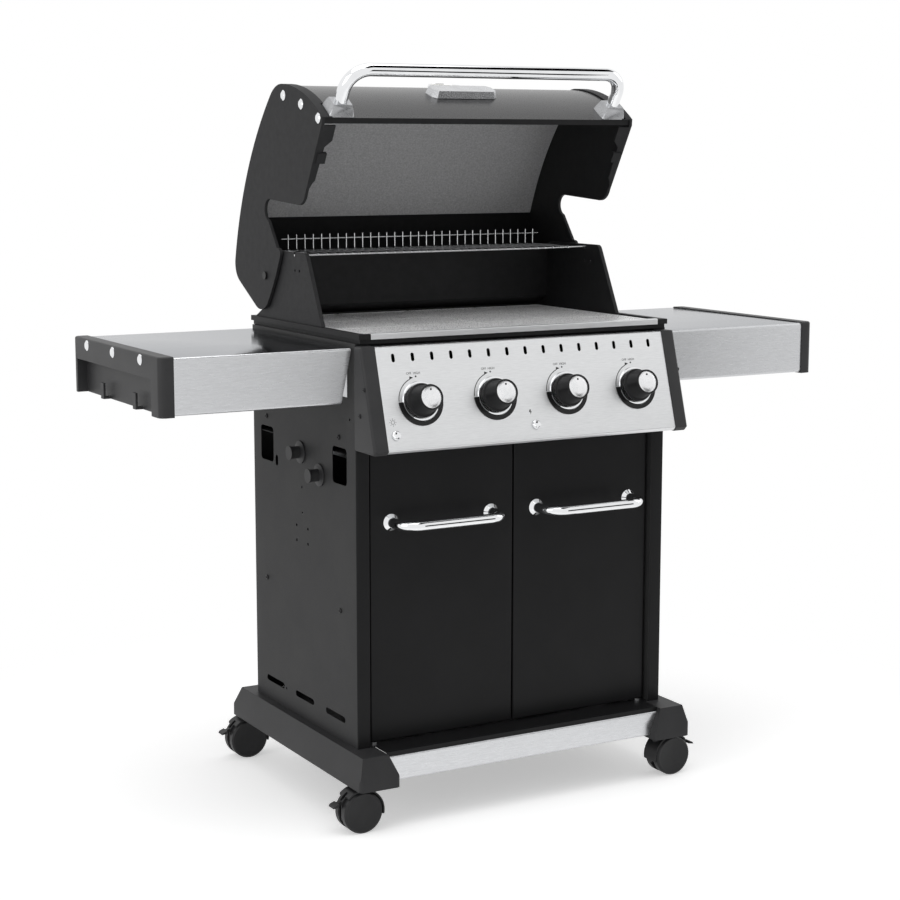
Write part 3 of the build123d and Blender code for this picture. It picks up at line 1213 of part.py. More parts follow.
def lid_nameplate():
    """Bare raised plate with clipped corners and sloping sides."""
    outline = Rectangle(NAMEPLATE_WIDTH, NAMEPLATE_LENGTH)
    plate = extrude(outline, amount=NAMEPLATE_HEIGHT, taper=NAMEPLATE_TAPER)
    uprights = plate.edges().filter_by(lambda e: abs(e.center().Z - NAMEPLATE_HEIGHT / 2) < 1)
    plate = chamfer(uprights, NAMEPLATE_CLIP)
    return lid_front_plane(NAMEPLATE_AT).location * plate


def lid_gauge():
    """Thermometer: a dished bezel with its stem through the lid."""
    profile = polygon(
        (0, 0), (GAUGE_RADIUS - 4, 0), (GAUGE_RADIUS, 2), (GAUGE_RADIUS - 2, GAUGE_HEIGHT),
        (GAUGE_RADIUS - 5, GAUGE_HEIGHT), (GAUGE_RADIUS - 6, GAUGE_HEIGHT - 2), (0, GAUGE_HEIGHT - 2)
    )
    gauge = revolve(Plane.XZ * profile, axis=Axis.Z)
    gauge += Pos(0, 0, -GAUGE_STEM_LENGTH) * Cylinder(GAUGE_STEM, GAUGE_STEM_LENGTH + 1, align=MIN_CENTRE)
    return gauge_plane().location * gauge


def screw_cap():
    """Domed cap of a screw, standing on z = 0."""
    profile = polygon(
        (0, 0), (SCREW_CAP_RADIUS, 0), (SCREW_CAP_RADIUS, SCREW_CAP_EDGE),
        (SCREW_CAP_RADIUS - SCREW_CAP_DOME, SCREW_CAP_HEIGHT), (0, SCREW_CAP_HEIGHT)
    )
    return revolve(Plane.XZ * profile, axis=Axis.Z)


def lid_screws():
    """Screw caps near the front edge of both end plates and down the back of their bands."""
    caps = []
    for y, z in lid_at(*LID_SCREWS):
        plane = Plane(origin=(LID_HALF, y, z), z_dir=(1, 0, 0))
        caps += both_sides(plane.location * screw_cap())
    back = lid_curves()[2]
    x = LID_HALF - (LID_PLATE + LID_BAND) / 2
    for share in BACK_SCREWS_AT:
        point, run = back @ share, back % share
        plane = Plane(origin=(x, point.X, point.Y), x_dir=(1, 0, 0), z_dir=(0, -run.Y, run.X))
        caps += both_sides(plane.location * screw_cap())
    return caps


# Shelves

def shelf():
    """Right-hand shelf: folded sheet with returns, and a bracket bent down to the side panel."""
    low = SHELF_TOP - SHELF_DROP
    section = strip(
        [(SHELF_FRONT + SHELF_RETURN, low), (SHELF_FRONT, low), (SHELF_FRONT, SHELF_TOP),
         (SHELF_REAR, SHELF_TOP), (SHELF_REAR, low), (SHELF_REAR - SHELF_RETURN, low)],
        SHELF_BEND, SHEET, Side.RIGHT,
    )
    tray = along_x(section, SHELF_INNER, SHELF_OUTER)
    slant = polygon((SHELF_INNER - 1, SHELF_TOP - SHELF_BEND), (SHELF_INNER, SHELF_TOP - SHELF_BEND),
                    (SHELF_INNER_LOW, low - 1), (SHELF_INNER - 1, low - 1))
    tray -= extrude(Plane.XZ * slant, amount=CART_DEPTH, both=True)
    bracket = strip(
        [(SHELF_INNER + BRACKET_TAB, SHELF_TOP), (SHELF_INNER, SHELF_TOP),
         (SHELF_INNER, SHELF_TOP - BRACKET_STEP), (CART_X, SHELF_TOP - BRACKET_STEP),
         (CART_X, SHELF_TOP - BRACKET_DROP)],
        BRACKET_BEND, SHEET, Side.LEFT,
    )
    return tray + along_y(bracket, -BRACKET_HALF, BRACKET_HALF)


def shelf_cap():
    """Right-hand end cap: a rounded moulding with a band, a recess and two tool hooks."""
    outer = OVERALL_WIDTH / 2
    low, high = SHELF_TOP - SHELF_DROP - CAP_PROUD, SHELF_TOP + CAP_PROUD
    front, rear = SHELF_FRONT - CAP_PROUD, SHELF_REAR + CAP_PROUD
    cap = block(SHELF_OUTER, outer, front, rear, low, high)
    corners = cap.edges().filter_by(Axis.Z).filter_by(lambda e: e.center().X > outer - 1)
    cap = fillet(corners, CAP_CORNER)
    rim = cap.faces().sort_by(Axis.Z)[-1].edges().filter_by(lambda e: e.center().X > SHELF_OUTER + 1)
    cap = fillet(rim, CAP_PROUD + 2)
    cap -= block(outer - CAP_RECESS, outer + 1, front + CAP_PILLAR_FRONT, rear - CAP_PILLAR_REAR,
                 low - 1, high - CAP_BAND)
    wall = outer - CAP_RECESS
    for y in (-HOOK_SPREAD / 2, HOOK_SPREAD / 2):
        tip = wall + HOOK_REACH
        hook = polygon(
            (wall - 1, low), (tip, low), (tip, low + HOOK_HEIGHT), (tip - HOOK_THICKNESS, low + HOOK_HEIGHT),
            (tip - HOOK_THICKNESS, low + HOOK_THICKNESS), (wall - 1, low + HOOK_THICKNESS)
        )
        cap += along_y(hook, y - HOOK_WIDTH / 2, y + HOOK_WIDTH / 2)
    return cap


def fasteners():
    """Shelf screw caps, door pins and lid bolts that stay with the cart."""
    pieces = []
    for y in CAP_SCREWS:
        plane = Plane(origin=(OVERALL_WIDTH / 2, y, SHELF_TOP - CAP_SCREW_DROP), z_dir=(1, 0, 0))
        pieces += both_sides(plane.location * screw_cap())
    x, y = DOOR_PIVOT_X, DOOR_PIVOT_Y
    pin = rod((x, y, BASE_TOP), (x, y, DOOR_BOTTOM + DOOR_PIN_BITE), DOOR_PIN)
    pin += rod((x, y, BASE_TOP), (x, y, DOOR_BOTTOM - SEAT_GAP), DOOR_PIN_COLLAR)
    pieces += both_sides(pin)
    pieces += both_sides(rod((x, y, DOOR_TOP - DOOR_PIN_BITE), (x, y, BRACE_BOTTOM + SHEET), DOOR_PIN))
    bolt = rod((WALL_INNER, *LID_PIVOT), (LID_HALF + SEAT_GAP + 1, *LID_PIVOT), LID_PIN)
    head = LID_HALF + SEAT_GAP
    bolt += rod((head, *LID_PIVOT), (head + LID_PIN_HEAD_HEIGHT, *LID_PIVOT), LID_PIN_HEAD)
    return pieces + both_sides(bolt)


def side_pegs():
    """Two spool pegs on the outside of the left panel."""
    profile = polygon(
        (0, 0), (PEG_FLANGE, 0), (PEG_FLANGE, 3), (PEG_RADIUS, 5), (PEG_RADIUS, PEG_LENGTH - 2 * PEG_HEAD),
        (PEG_RADIUS + PEG_HEAD, PEG_LENGTH - PEG_HEAD), (PEG_RADIUS + PEG_HEAD, PEG_LENGTH), (0, PEG_LENGTH)
    )
    peg = revolve(Plane.XZ * profile, axis=Axis.Z)
    planes = [Plane(origin=(-CART_X, y, CART_TOP - drop), z_dir=(-1, 0, 0)) for y, drop in PEGS]
    return [plane.location * peg for plane in planes]


def left(shape):
    """Mirror image of a right-hand piece."""
    return mirror(shape, about=Plane.YZ)


def build_nodes():
    """Every node of the grill, by name, as a list of solids."""
    nodes = {
        "base_rails": both_sides(base_rail()),
        "base_panel": [base_panel()],
        "base_front_trim": [base_front_trim()],
        "side_panel_right": [side_panel()],
        "side_panel_left": [left(side_panel())],
        "rear_panel": [rear_panel()],
        "front_brace": [front_brace()],
        "control_panel": [control_panel()],
        "control_panel_caps": both_sides(control_panel_cap()),
        "knob_bezels": knob_bezels(),
        "gas_manifold": [gas_manifold()],
        "gas_valves": [gas_valve(x) for x in KNOB_X],
        "button_modules": [button_module(x) for x in (LIGHT_BUTTON_X, IGNITION_BUTTON_X)],
        "light_button": [push_button(LIGHT_BUTTON_X)],
        "ignition_button": [push_button(IGNITION_BUTTON_X)],
        "firebox": [firebox()],
        "firebox_front_trim": [firebox_front_trim()],
        "cook_box_sides": both_sides(cook_box_side()),
        "cook_box_back": [cook_box_back()],
        "cooking_grates": [cooking_grate(i) for i in range(GRATE_COUNT)],
        "heat_plates": [heat_plate(x) for x in KNOB_X],
        "burners": [burner(x) for x in KNOB_X],
        "warming_rack": [warming_rack()],
        "grease_tray": [grease_tray()],
        "shelf_right": [shelf()],
        "shelf_left": [left(shelf())],
        "shelf_caps": both_sides(shelf_cap()),
        "side_pegs": side_pegs(),
        "fasteners": fasteners(),
        "door_right": [door()],
        "door_left": [left(door())],
        "door_handle_right": door_handle(),
        "door_handle_left": [left(piece) for piece in door_handle()],
        "lid_skin": [lid_skin()],
        "lid_liner": [lid_liner()],
        "lid_ends": both_sides(lid_end()),
        "lid_handle": lid_handle(),
        "lid_nameplate": [lid_nameplate()],
        "lid_gauge": [lid_gauge()],
        "lid_screws": lid_screws(),
    }
    for i, x in enumerate(KNOB_X, start=1):
        nodes[f"valve_collar_{i}"] = [valve_collar(x)]
        nodes[f"knob_{i}"] = knob(x)
    for name, x, y, turn in caster_places():
        place = Pos(x, y, 0) * Rot(0, 0, turn)
        nodes[f"caster_fork_{name}"] = [place * caster_fork()]
        nodes[f"caster_wheel_{name}"] = [place * caster_wheel()]
        nodes[f"brake_lever_{name}"] = [place * brake_lever()]
    return nodes


def caster_places():
    """Name, stem position and turn of each caster; the wheels trail outwards."""
    for end, y in (("front", CASTER_FRONT), ("rear", CASTER_REAR)):
        yield f"{end}_left", -CASTER_X, y, 180
        yield f"{end}_right", CASTER_X, y, 0


def main():
    os.makedirs("parts", exist_ok=True)
    nodes = build_nodes()
    boxes = [solid.bounding_box() for solids in nodes.values() for solid in solids]
    shift = -(min(b.min.Y for b in boxes) + max(b.max.Y for b in boxes)) / 2
    for name, solids in nodes.items():
        moved = [Pos(0, shift, 0) * solid for solid in solids]
        shape = moved[0] if len(moved) == 1 else Compound(children=moved)
        export_step(shape, f"parts/{name}.step")
    print("shift of the cart along Y:", round(shift, 4))


main()
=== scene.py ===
import bmesh
import bpy
import json
import math
from mathutils import Matrix, Vector


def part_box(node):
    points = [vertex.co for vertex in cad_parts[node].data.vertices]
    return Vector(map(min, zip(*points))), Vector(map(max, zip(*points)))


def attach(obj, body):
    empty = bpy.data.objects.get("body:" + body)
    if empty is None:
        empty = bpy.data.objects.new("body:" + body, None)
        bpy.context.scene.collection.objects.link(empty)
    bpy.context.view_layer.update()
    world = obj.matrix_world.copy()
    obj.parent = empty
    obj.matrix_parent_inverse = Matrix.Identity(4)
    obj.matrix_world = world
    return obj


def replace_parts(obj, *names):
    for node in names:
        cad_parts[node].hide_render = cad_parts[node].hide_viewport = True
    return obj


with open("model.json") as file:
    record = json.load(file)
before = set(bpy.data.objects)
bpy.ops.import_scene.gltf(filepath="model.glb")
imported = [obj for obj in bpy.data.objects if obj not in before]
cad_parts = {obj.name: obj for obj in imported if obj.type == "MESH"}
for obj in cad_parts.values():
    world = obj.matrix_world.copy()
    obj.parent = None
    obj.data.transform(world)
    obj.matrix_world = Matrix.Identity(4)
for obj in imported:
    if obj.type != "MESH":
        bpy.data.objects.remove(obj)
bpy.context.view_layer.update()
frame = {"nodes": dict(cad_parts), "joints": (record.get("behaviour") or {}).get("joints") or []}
NODES = frame["nodes"]
JOINTS = {joint["name"]: joint for joint in frame["joints"]}
MM = 0.001

# Camera and stage, in metres
CAMERA_PLACE = (-1.9345, -3.3787, 1.2724)
CAMERA_AIM = (-0.0354, 0.0039, 0.6670)
CAMERA_LENS = 77.84         # mm, on a sensor of SENSOR_WIDTH
SENSOR_WIDTH = 36
CAMERA_SHIFT = 0.0071
FLOOR_SIZE = 30.0
FLOOR_GLOW = 0.43           # lifts the shaded floor to the pale grey of a studio sweep
SHADOW_REACH = (0.60, 1.35)  # the floor keeps its shade up to here and is plain white beyond
WORLD_LEVEL = (0.5, 1.0)    # of the surroundings, as light on the object and as seen
LAMP_AIM = Vector((0, 0, 0.7))
# Soft lamps: place and size in metres, power in watts
SOFTBOXES = (
    ("softbox_top", (-0.3, -0.5, 3.4), (3.2, 2.6), 42),
    ("softbox_left", (-3.4, -0.9, 1.9), (1.8, 2.4), 20),
    ("softbox_right", (3.6, -0.6, 2.2), (1.6, 2.2), 12),
)
# Black cards that draw dark lines on the chrome: middle, facing and size, in metres
FLAGS = (
    ("flag_over_lid", (0.60, -0.81, 2.52), (-0.485, 0.459, -0.743), (2.2, 0.80)),
    ("flag_before_doors", (1.35, -2.46, 0.62), (0, 1, 0), (1.2, 1.0)),
)

# The control panel's slope, from the first knob's own joint; lengths on it are in mm
KNOB_BODIES = ("knob_1", "knob_2", "knob_3", "knob_4")
FASCIA_OUT = Vector(JOINTS["knob_1_turn"]["axis"]).normalized()
FASCIA_UP = Vector((0, -FASCIA_OUT.z, FASCIA_OUT.y)) * -1
KNOB_ROW = Vector(JOINTS["knob_1_turn"]["pos_m"])
KNOB_X = [JOINTS[f"{name}_turn"]["pos_m"][0] / MM for name in KNOB_BODIES]
BUTTON_UP = -60.5           # from the knobs
LIGHT_BUTTON_X = -299
IGNITION_BUTTON_X = 0
BEZEL_RADIUS = 37.6         # the lamp half rings lie outside this

# Ink on the control panel, in mm and degrees; places are counted from a knob or a button
INK_HEIGHT = 0.12
INK_FOOT = 0.01
LETTER_EM = 1.4             # size of the built-in face over the height of its capitals
KNOB_WORDS = "OFF  HIGH"
KNOB_WORDS_HEIGHT = 4.4
KNOB_WORDS_PLACE = (-8, 52.5)
TURN_ARC = {"radius": 45, "width": 1.5, "start": 178, "end": 112}
ARROW = ((-5, -2.6), (3.4, 0.6), (-4, 3.4))
ARROW_PLACE = (-12.6, 43.8)
OFF_DOT_RADIUS = 1.7
OFF_DOT_PLACE = (-3.6, 46.4)
SYMBOL_UP = 25              # over the buttons
BULB_SIDE = -3
BULB_RING = {"radius": 3.4, "width": 0.9, "start": 0, "end": 360}
BULB_RAYS = 8
BULB_RAY = ((5, -0.4), (7.6, -0.4), (7.6, 0.4), (5, 0.4))
SPARK_SIDE = -8
SPARK = ((-1.6, 4.6), (-3.4, -0.6), (-0.4, 0.2), (-1, -4.8), (2.6, 1.4), (0, 0.9), (1.2, 4.6))

# Turned profiles, (radius, height) in mm
KNOB_PROFILE = (
    (5, 6.3), (30.8, 6.3), (32, 7.4), (32, 9.6), (31.3, 10.8), (29.6, 11.4), (28.2, 11.7),
    (27.5, 12.6), (24.2, 42.2), (23.6, 43.8), (22.6, 44.6), (21.6, 44.6), (21.3, 44), (21.3, 42.8),
)
KNOB_FOOT = 6.4             # middle of the closed underside
INSERT_PROFILE = ((21.2, 42.8), (20.6, 43.3), (12, 43.9), (0, 44.2))
POINTER_UP = 14.5
POINTER_PROFILE = ((1.9, 43.6), (1.9, 44.1), (0, 44.1))
BUTTON_PROFILE = (
    (9, -8), (9, 2.6), (8.6, 3.9), (7.7, 4.8), (6.9, 5), (6.3, 4.7), (4, 3.9), (0, 3.6),
)
SCREW_PROFILE = (
    (1, 0), (1, 0.28), (0.86, 0.47), (0.62, 0.56), (0.5, 0.57), (0.42, 0.2), (0, 0.2),
)
PORT_PROFILE = ((1, 0), (0.5, 0.06), (0, 0.06))
DIAL_PROFILE = ((0, 0), (28.6, 0), (29.6, 0.5), (30, 1.2))
NEEDLE_HUB = ((2.6, 0), (2.6, 1.2), (2, 1.6), (0, 1.7))

# Gauge on the lid, in metres and mm
GAUGE_SEAT = Vector((0, 0.0604918, 1.3860787))
GAUGE_OUT = Vector((0, -0.1195, 0.99283)).normalized()
GAUGE_FACE = 5.05           # dial over the seat
GAUGE_INK = 0.02            # ink over the dial
GAUGE_TICKS = 36
LONG_TICK = 6               # every sixth tick is long
TICK_START = {True: 24, False: 26}  # radius where a long and a short tick start
TICK_END = 28
TICK_HALF = 0.35
NUMBER_RADIUS = 19.5
NUMBER_HEIGHT = 4.2
NEEDLE = ((-5, -1), (21, -0.3), (21, 0.3), (-5, 1))
NEEDLE_HEIGHT = 0.8
GAUGE_NUMBERS = ("100", "200", "300", "400", "500", "600", "700")
GAUGE_SWEEP = 250           # degrees from the first number to the last
GAUGE_START = 90 + GAUGE_SWEEP / 2

# Plinths of the lid handle: seat and direction in metres, height in mm
HANDLE_SEAT = Vector((0, -0.0718, 1.3375))
HANDLE_OUT = Vector((0, -0.552, 0.834))
PLINTH_TOP = 22.3

# Warming rack, in mm
RACK_WIRES = 32
RACK_PITCH = 18.6
RACK_WIRE = 1.25            # radius
RACK_ROD = 2.1
RACK_RAIL = 1.3
RACK_BEND = 3.0
RACK_FENCE = 31.0
RACK_RAIL_DROP = 9.0
RACK_RAIL_END = 14          # rails beyond the last wire
RACK_RAIL_LIFT = 1          # middle rail over the rods
RACK_RAIL_BACK = 0.2        # fence rail behind the rear rod's middle
RACK_FRONT_INSET = 5
RACK_REAR_INSET = 3.5
RACK_FENCE_INSET = 2        # fence before the rear rod
RACK_NOSE = 0.2             # wire ends behind the rack's front
RACK_WELD = 0.4             # share of a wire's radius that stands clear of the rods

# Cooking grates, in mm
GRATE_COUNT = 4
GRATE_GAP = 1.0             # between neighbours
GRATE_BARS = 13
GRATE_CROSSES = 2
GRATE_BAR = (4.2, 10.0)     # width and height of a bar
GRATE_FRAME = (8.4, 11.0)
GRATE_CROSS = (6.5, 7.0)
GRATE_CROSS_DROP = 1        # below the bars' middle

# Burner ports, in mm
BURNER_RADIUS = 16
PORT_RADIUS = 1.5
PORT_COUNT = 30
PORT_ANGLE = 38             # degrees over the side of the tube
PORT_LIFT = 0.05            # over the tube
PORT_START = 60             # from the front of the burner
PORT_END = 20               # and from its rear

# Screws, in mm
SIDE_SCREW = 5              # radius of the head
SIDE_SCREWS = ((-162, 736), (165, 737), (172, 404), (-163, 404))  # from the panel's middle, and height
CAP_SCREW = 4
CAP_SCREWS = ((40, 836), (22, 786))  # from the rear of the cap, and height
REAR_SCREW = 4.5
FLANGE_SCREWS = (230, 420, 610, 860)  # heights on the rear flanges
FLANGE_INSET = 10
REAR_PANEL_SCREWS = (-210, -70, 70, 210)
REAR_PANEL_INSET = 14

SHARP_EDGE = 28             # degrees; a CAD node's edges beyond this stay sharp


# Colour, nodes and finishes

def linear(code):
    """Linear colour of an sRGB hex code."""
    parts = [int(code[i:i + 2], 16) / 255 for i in (0, 2, 4)]
    return (*[c / 12.92 if c <= 0.04045 else ((c + 0.055) / 1.055) ** 2.4 for c in parts], 1.0)


def add(tree, kind, inputs=None, **settings):
    """Add a node with its settings, its constants and its links."""
    made = tree.nodes.new(kind)
    for key, value in settings.items():
        setattr(made, key, value)
    for key, value in (inputs or {}).items():
        if isinstance(value, bpy.types.NodeSocket):
            tree.links.new(value, made.inputs[key])
        else:
            made.inputs[key].default_value = value
    return made


def finish(name, dark, light, tone_mm, grain_mm, rough, relief_mm=0.0, stretch=(1, 1, 1), edge_mm=0.4,
           **fixed):
    """Surface whose tone, shine and relief follow two noises of a real size, with softened edges."""
    made = bpy.data.materials.new(name)
    made.use_nodes = True
    tree = made.node_tree
    tree.nodes.clear()
    place = add(tree, "ShaderNodeTexCoord").outputs["Object"]
    drawn = add(tree, "ShaderNodeMapping", {"Vector": place, "Scale": stretch}).outputs[0]
    tone = add(tree, "ShaderNodeTexNoise", {
        "Vector": drawn, "Scale": 1 / (tone_mm * MM), "Detail": 3.0, "Roughness": 0.6,
    }).outputs["Fac"]
    grain = add(tree, "ShaderNodeTexNoise", {
        "Vector": drawn, "Scale": 1 / (grain_mm * MM), "Detail": 2.0,
    }).outputs["Fac"]
    even = add(tree, "ShaderNodeMapRange", {"Value": tone, "From Min": 0.3, "From Max": 0.7}).outputs[0]
    colour = add(
        tree, "ShaderNodeMix", {"Factor": even, 6: linear(dark), 7: linear(light)}, data_type="RGBA"
    ).outputs[2]
    shine = add(tree, "ShaderNodeMapRange", {
        "Value": grain, "From Min": 0.3, "From Max": 0.7, "To Min": rough[0], "To Max": rough[1],
    }).outputs[0]
    inputs = {"Base Color": colour, "Roughness": shine}
    if relief_mm:
        edge = add(tree, "ShaderNodeBevel", {"Radius": edge_mm * MM}, samples=4).outputs[0]
        inputs["Normal"] = add(tree, "ShaderNodeBump", {
            "Height": grain, "Distance": relief_mm * MM, "Normal": edge,
        }).outputs[0]
    for key, value in fixed.items():
        inputs[key.replace("_", " ").title().replace("Ior", "IOR")] = value
    shader = add(tree, "ShaderNodeBsdfPrincipled", inputs)
    add(tree, "ShaderNodeOutputMaterial", {"Surface": shader.outputs[0]})
    return made


# Brushed 304 stainless: grit lines run across the panel and blur what it reflects. The real lines are
# finer than a pixel, so they are drawn about a millimetre wide.
PANEL_STEEL = finish("brushed_stainless_panel", "d8d9da", "e3e4e5", 1.1, 0.9, (0.30, 0.40), 0.004,
                     (0.06, 1, 1), metallic=1.0)
SHELF_STEEL = finish("brushed_stainless_shelf", "c8c9cb", "d4d5d7", 1.1, 0.9, (0.26, 0.34), 0.003,
                     (0.06, 1, 1), metallic=1.0)
# The shelf tops are polished further: they mirror the dark body, with a soft edge
SHELF_POLISH = finish("polished_stainless_shelf", "d2d3d5", "d9dadc", 60, 0.9, (0.09, 0.14), 0.001,
                      (0.06, 1, 1), metallic=1.0, specular_tint=linear("c4c5c7"))
# Chrome plate on tube: a hard mirror with a faint haze where hands wipe it
CHROME = finish("chrome_plate", "e2e3e5", "eeeff0", 60, 40, (0.02, 0.05), metallic=1.0)
# Nickel-plated wire: the same mirror, a little duller at the welds
RACK_CHROME = finish("nickel_plated_wire", "b9babb", "d2d3d4", 9, 6, (0.16, 0.26), metallic=1.0)
# Porcelain enamel on the lid: deep black, glossy, with a slight orange peel
LID_ENAMEL = finish("porcelain_enamel_lid", "1f1f20", "252526", 120, 2.6, (0.26, 0.32), 0.02,
                    specular_ior_level=0.75)
# Powder coat on the doors: satin black that picks up a broad sheen
# Also laid on the side panels' front faces as painted shade, darker than their own charcoal coat
DOOR_COAT_AND_PAINTED_SHADE = finish("powder_coat_doors_and_painted_shade", "171718", "1b1b1c", 110, 1.8, (0.36, 0.44), 0.02,
                   specular_ior_level=0.16)
# Textured powder coat on the cart: matt charcoal
PANEL_COAT = finish("powder_coat_cart", "333334", "393939", 90, 1.5, (0.50, 0.60), 0.03,
                    specular_ior_level=0.16)
# Heat paint over sand-cast aluminium: dull charcoal with the pebbled skin of the mould
CASTING = finish("cast_aluminium_heat_paint", "29292a", "303031", 14, 1.3, (0.52, 0.64), 0.08, edge_mm=1.0,
                 specular_ior_level=0.14)
# The same casting inside the cook box, near black: partly soot and its own heat enamel, partly painted
# shade where the lid and walls shade it
COOK_ENAMEL_AND_PAINTED_SHADE = finish("heat_enamel_and_painted_shade", "151516", "1c1c1d", 16, 1.3, (0.46, 0.6), 0.06, edge_mm=0.8,
                     specular_ior_level=0.2)
# Moulded polypropylene: a fine spark-eroded grain that keeps highlights broad
RAIL_PLASTIC = finish("polypropylene_rails", "2f2f30", "353536", 70, 1.0, (0.44, 0.54), 0.03, edge_mm=1.6,
                      specular_ior_level=0.22)
CAP_PLASTIC = finish("polypropylene_caps", "323233", "383839", 60, 1.0, (0.42, 0.52), 0.03, edge_mm=1.4,
                     specular_ior_level=0.24)
# Moulded nylon: darker and a little shinier
CASTER_PLASTIC = finish("nylon_casters", "262627", "2c2c2d", 30, 0.9, (0.38, 0.48), 0.02, edge_mm=1.0,
                        specular_ior_level=0.25)
# Phenolic knobs: satin black, smoother than the caps
KNOB_PLASTIC = finish("phenolic_knobs", "131314", "181819", 40, 0.8, (0.34, 0.42), 0.01,
                      specular_ior_level=0.2)
# Acrylic light guide, black when the lamp is off
LAMP_ACRYLIC = finish("acrylic_lamp_ring", "0e0e0f", "131314", 30, 2, (0.18, 0.24), 0.01,
                      specular_ior_level=0.3)
# Aluminised sheet behind the lid: dull metal with a close dark and light mottle
LINER = finish("aluminised_liner", "a4a4a5", "c8c8c9", 3.4, 3.0, (0.46, 0.60), 0.05, metallic=0.25)
# Hot-dip galvanised tray: pale zinc with soft crystal patches
ZINC = finish("galvanised_tray", "8f9294", "b1b4b6", 13, 9, (0.36, 0.52), metallic=1.0)
# Stainless grate rods, near white all over and only partly metallic: pale steel with a painted highlight
# for the light the rods catch
GRATE_STEEL_AND_HIGHLIGHT = finish("stainless_grate_rod_painted_highlight", "eeeeef", "fcfcfc", 22, 2.5, (0.24, 0.36), metallic=0.4)
# Stainless burners and heat plates, straw-coloured by heat
BURNER_STEEL = finish("heat_tinted_stainless", "827d75", "a39e97", 35, 3, (0.32, 0.48), metallic=1.0)
# Soot in the flame ports: flat black
BURNER_PORT = finish("sooty_burner_port", "0b0b0b", "141312", 3, 1, (0.7, 0.8))
# Machined brass of the valves: warm yellow with close turning marks
BRASS = finish("machined_brass", "a8864a", "bd9a5b", 8, 1.2, (0.26, 0.38), metallic=1.0)
# Grey paint on the manifold tube
MANIFOLD_PAINT = finish("grey_paint_manifold", "636467", "6f7073", 60, 2, (0.38, 0.48), 0.02)
# Satin alloy of the nameplate, handle plinths and knob inserts: a soft, pale metal without sharp images
PLATE_ALLOY = finish("satin_alloy_plate", "bebfc1", "cdced0", 30, 1.0, (0.22, 0.30), metallic=1.0)
PLINTH_ALLOY = finish("satin_chrome_plinth", "a2a3a5", "b4b5b7", 30, 1.0, (0.24, 0.34), metallic=1.0)
INSERT_ALLOY = finish("satin_alloy_insert", "e4e5e6", "f0f0f1", 20, 0.8, (0.24, 0.32), metallic=1.0)
# White baked enamel of the gauge dial
DIAL_WHITE = finish("enamelled_dial", "dcdcd8", "e6e6e2", 12, 1.0, (0.36, 0.46))
# Screen-printed ink: flat black, and grey for the light's symbol
INK = finish("screen_print_ink", "161616", "202020", 4, 0.6, (0.5, 0.6), specular_ior_level=0.2)
GREY_INK = finish("screen_print_grey", "77787a", "828385", 4, 0.6, (0.5, 0.6), specular_ior_level=0.2)
# Black-oxide screws: near black with an oily shine
BLACK_OXIDE = finish("black_oxide_steel", "1d1d1e", "2a2a2b", 3, 1, (0.34, 0.46), metallic=0.7)
# Zinc plate on the rear screws: bright and slightly blue
ZINC_PLATE = finish("zinc_plated_steel", "b4b6b8", "cdcfd0", 4, 1.2, (0.22, 0.34), metallic=1.0)

NODE_FINISH = {
    "base_rails": RAIL_PLASTIC, "base_panel": DOOR_COAT_AND_PAINTED_SHADE, "base_front_trim": SHELF_STEEL,
    "side_panel_right": PANEL_COAT, "side_panel_left": PANEL_COAT, "rear_panel": PANEL_COAT,
    "front_brace": DOOR_COAT_AND_PAINTED_SHADE, "control_panel": PANEL_STEEL, "control_panel_caps": CAP_PLASTIC,
    "knob_bezels": CHROME, "gas_manifold": MANIFOLD_PAINT, "gas_valves": BRASS,
    "button_modules": CAP_PLASTIC, "firebox": COOK_ENAMEL_AND_PAINTED_SHADE, "firebox_front_trim": PANEL_STEEL,
    "cook_box_sides": CASTING, "cook_box_back": COOK_ENAMEL_AND_PAINTED_SHADE, "heat_plates": BURNER_STEEL,
    "burners": BURNER_STEEL, "grease_tray": ZINC, "shelf_right": SHELF_STEEL, "shelf_left": SHELF_STEEL,
    "shelf_caps": CAP_PLASTIC, "side_pegs": CAP_PLASTIC, "fasteners": CHROME, "door_right": DOOR_COAT_AND_PAINTED_SHADE,
    "door_left": DOOR_COAT_AND_PAINTED_SHADE, "door_handle_right": CHROME, "door_handle_left": CHROME,
    "lid_skin": LID_ENAMEL, "lid_liner": LINER, "lid_ends": CASTING, "lid_handle": CHROME,
    "lid_nameplate": PLATE_ALLOY, "lid_gauge": CHROME, "lid_screws": CHROME,
}


# CAD nodes

def geometry_tree(name, inputs):
    """Geometry Nodes tree with named inputs; gives the tree and its input sockets by name."""
    tree = bpy.data.node_groups.new(name, "GeometryNodeTree")
    tree.interface.new_socket("Geometry", in_out="INPUT", socket_type="NodeSocketGeometry")
    for label, kind in inputs.items():
        tree.interface.new_socket(label, in_out="INPUT", socket_type=f"NodeSocket{kind}")
    tree.interface.new_socket("Geometry", in_out="OUTPUT", socket_type="NodeSocketGeometry")
    return tree, add(tree, "NodeGroupInput").outputs


def soft_edge_tree():
    """Join a CAD node's loose triangles and shade them smooth up to an angle."""
    tree, given = geometry_tree("smooth_cad_faces", {"Limit": "Float"})
    joined = add(tree, "GeometryNodeMergeByDistance", {"Geometry": given["Geometry"], "Distance": 1e-6})
    angle = add(tree, "GeometryNodeInputMeshEdgeAngle").outputs["Unsigned Angle"]
    sharp = add(tree, "FunctionNodeCompare", {"A": angle, "B": given["Limit"]}, operation="GREATER_THAN")
    smooth = add(tree, "GeometryNodeSetShadeSmooth", {"Geometry": joined.outputs[0], "Shade Smooth": True})
    split = add(tree, "GeometryNodeSetShadeSmooth", {
        "Geometry": smooth.outputs[0], "Selection": sharp.outputs[0], "Shade Smooth": False,
    }, domain="EDGE")
    add(tree, "NodeGroupOutput", {"Geometry": split.outputs[0]})
    return tree


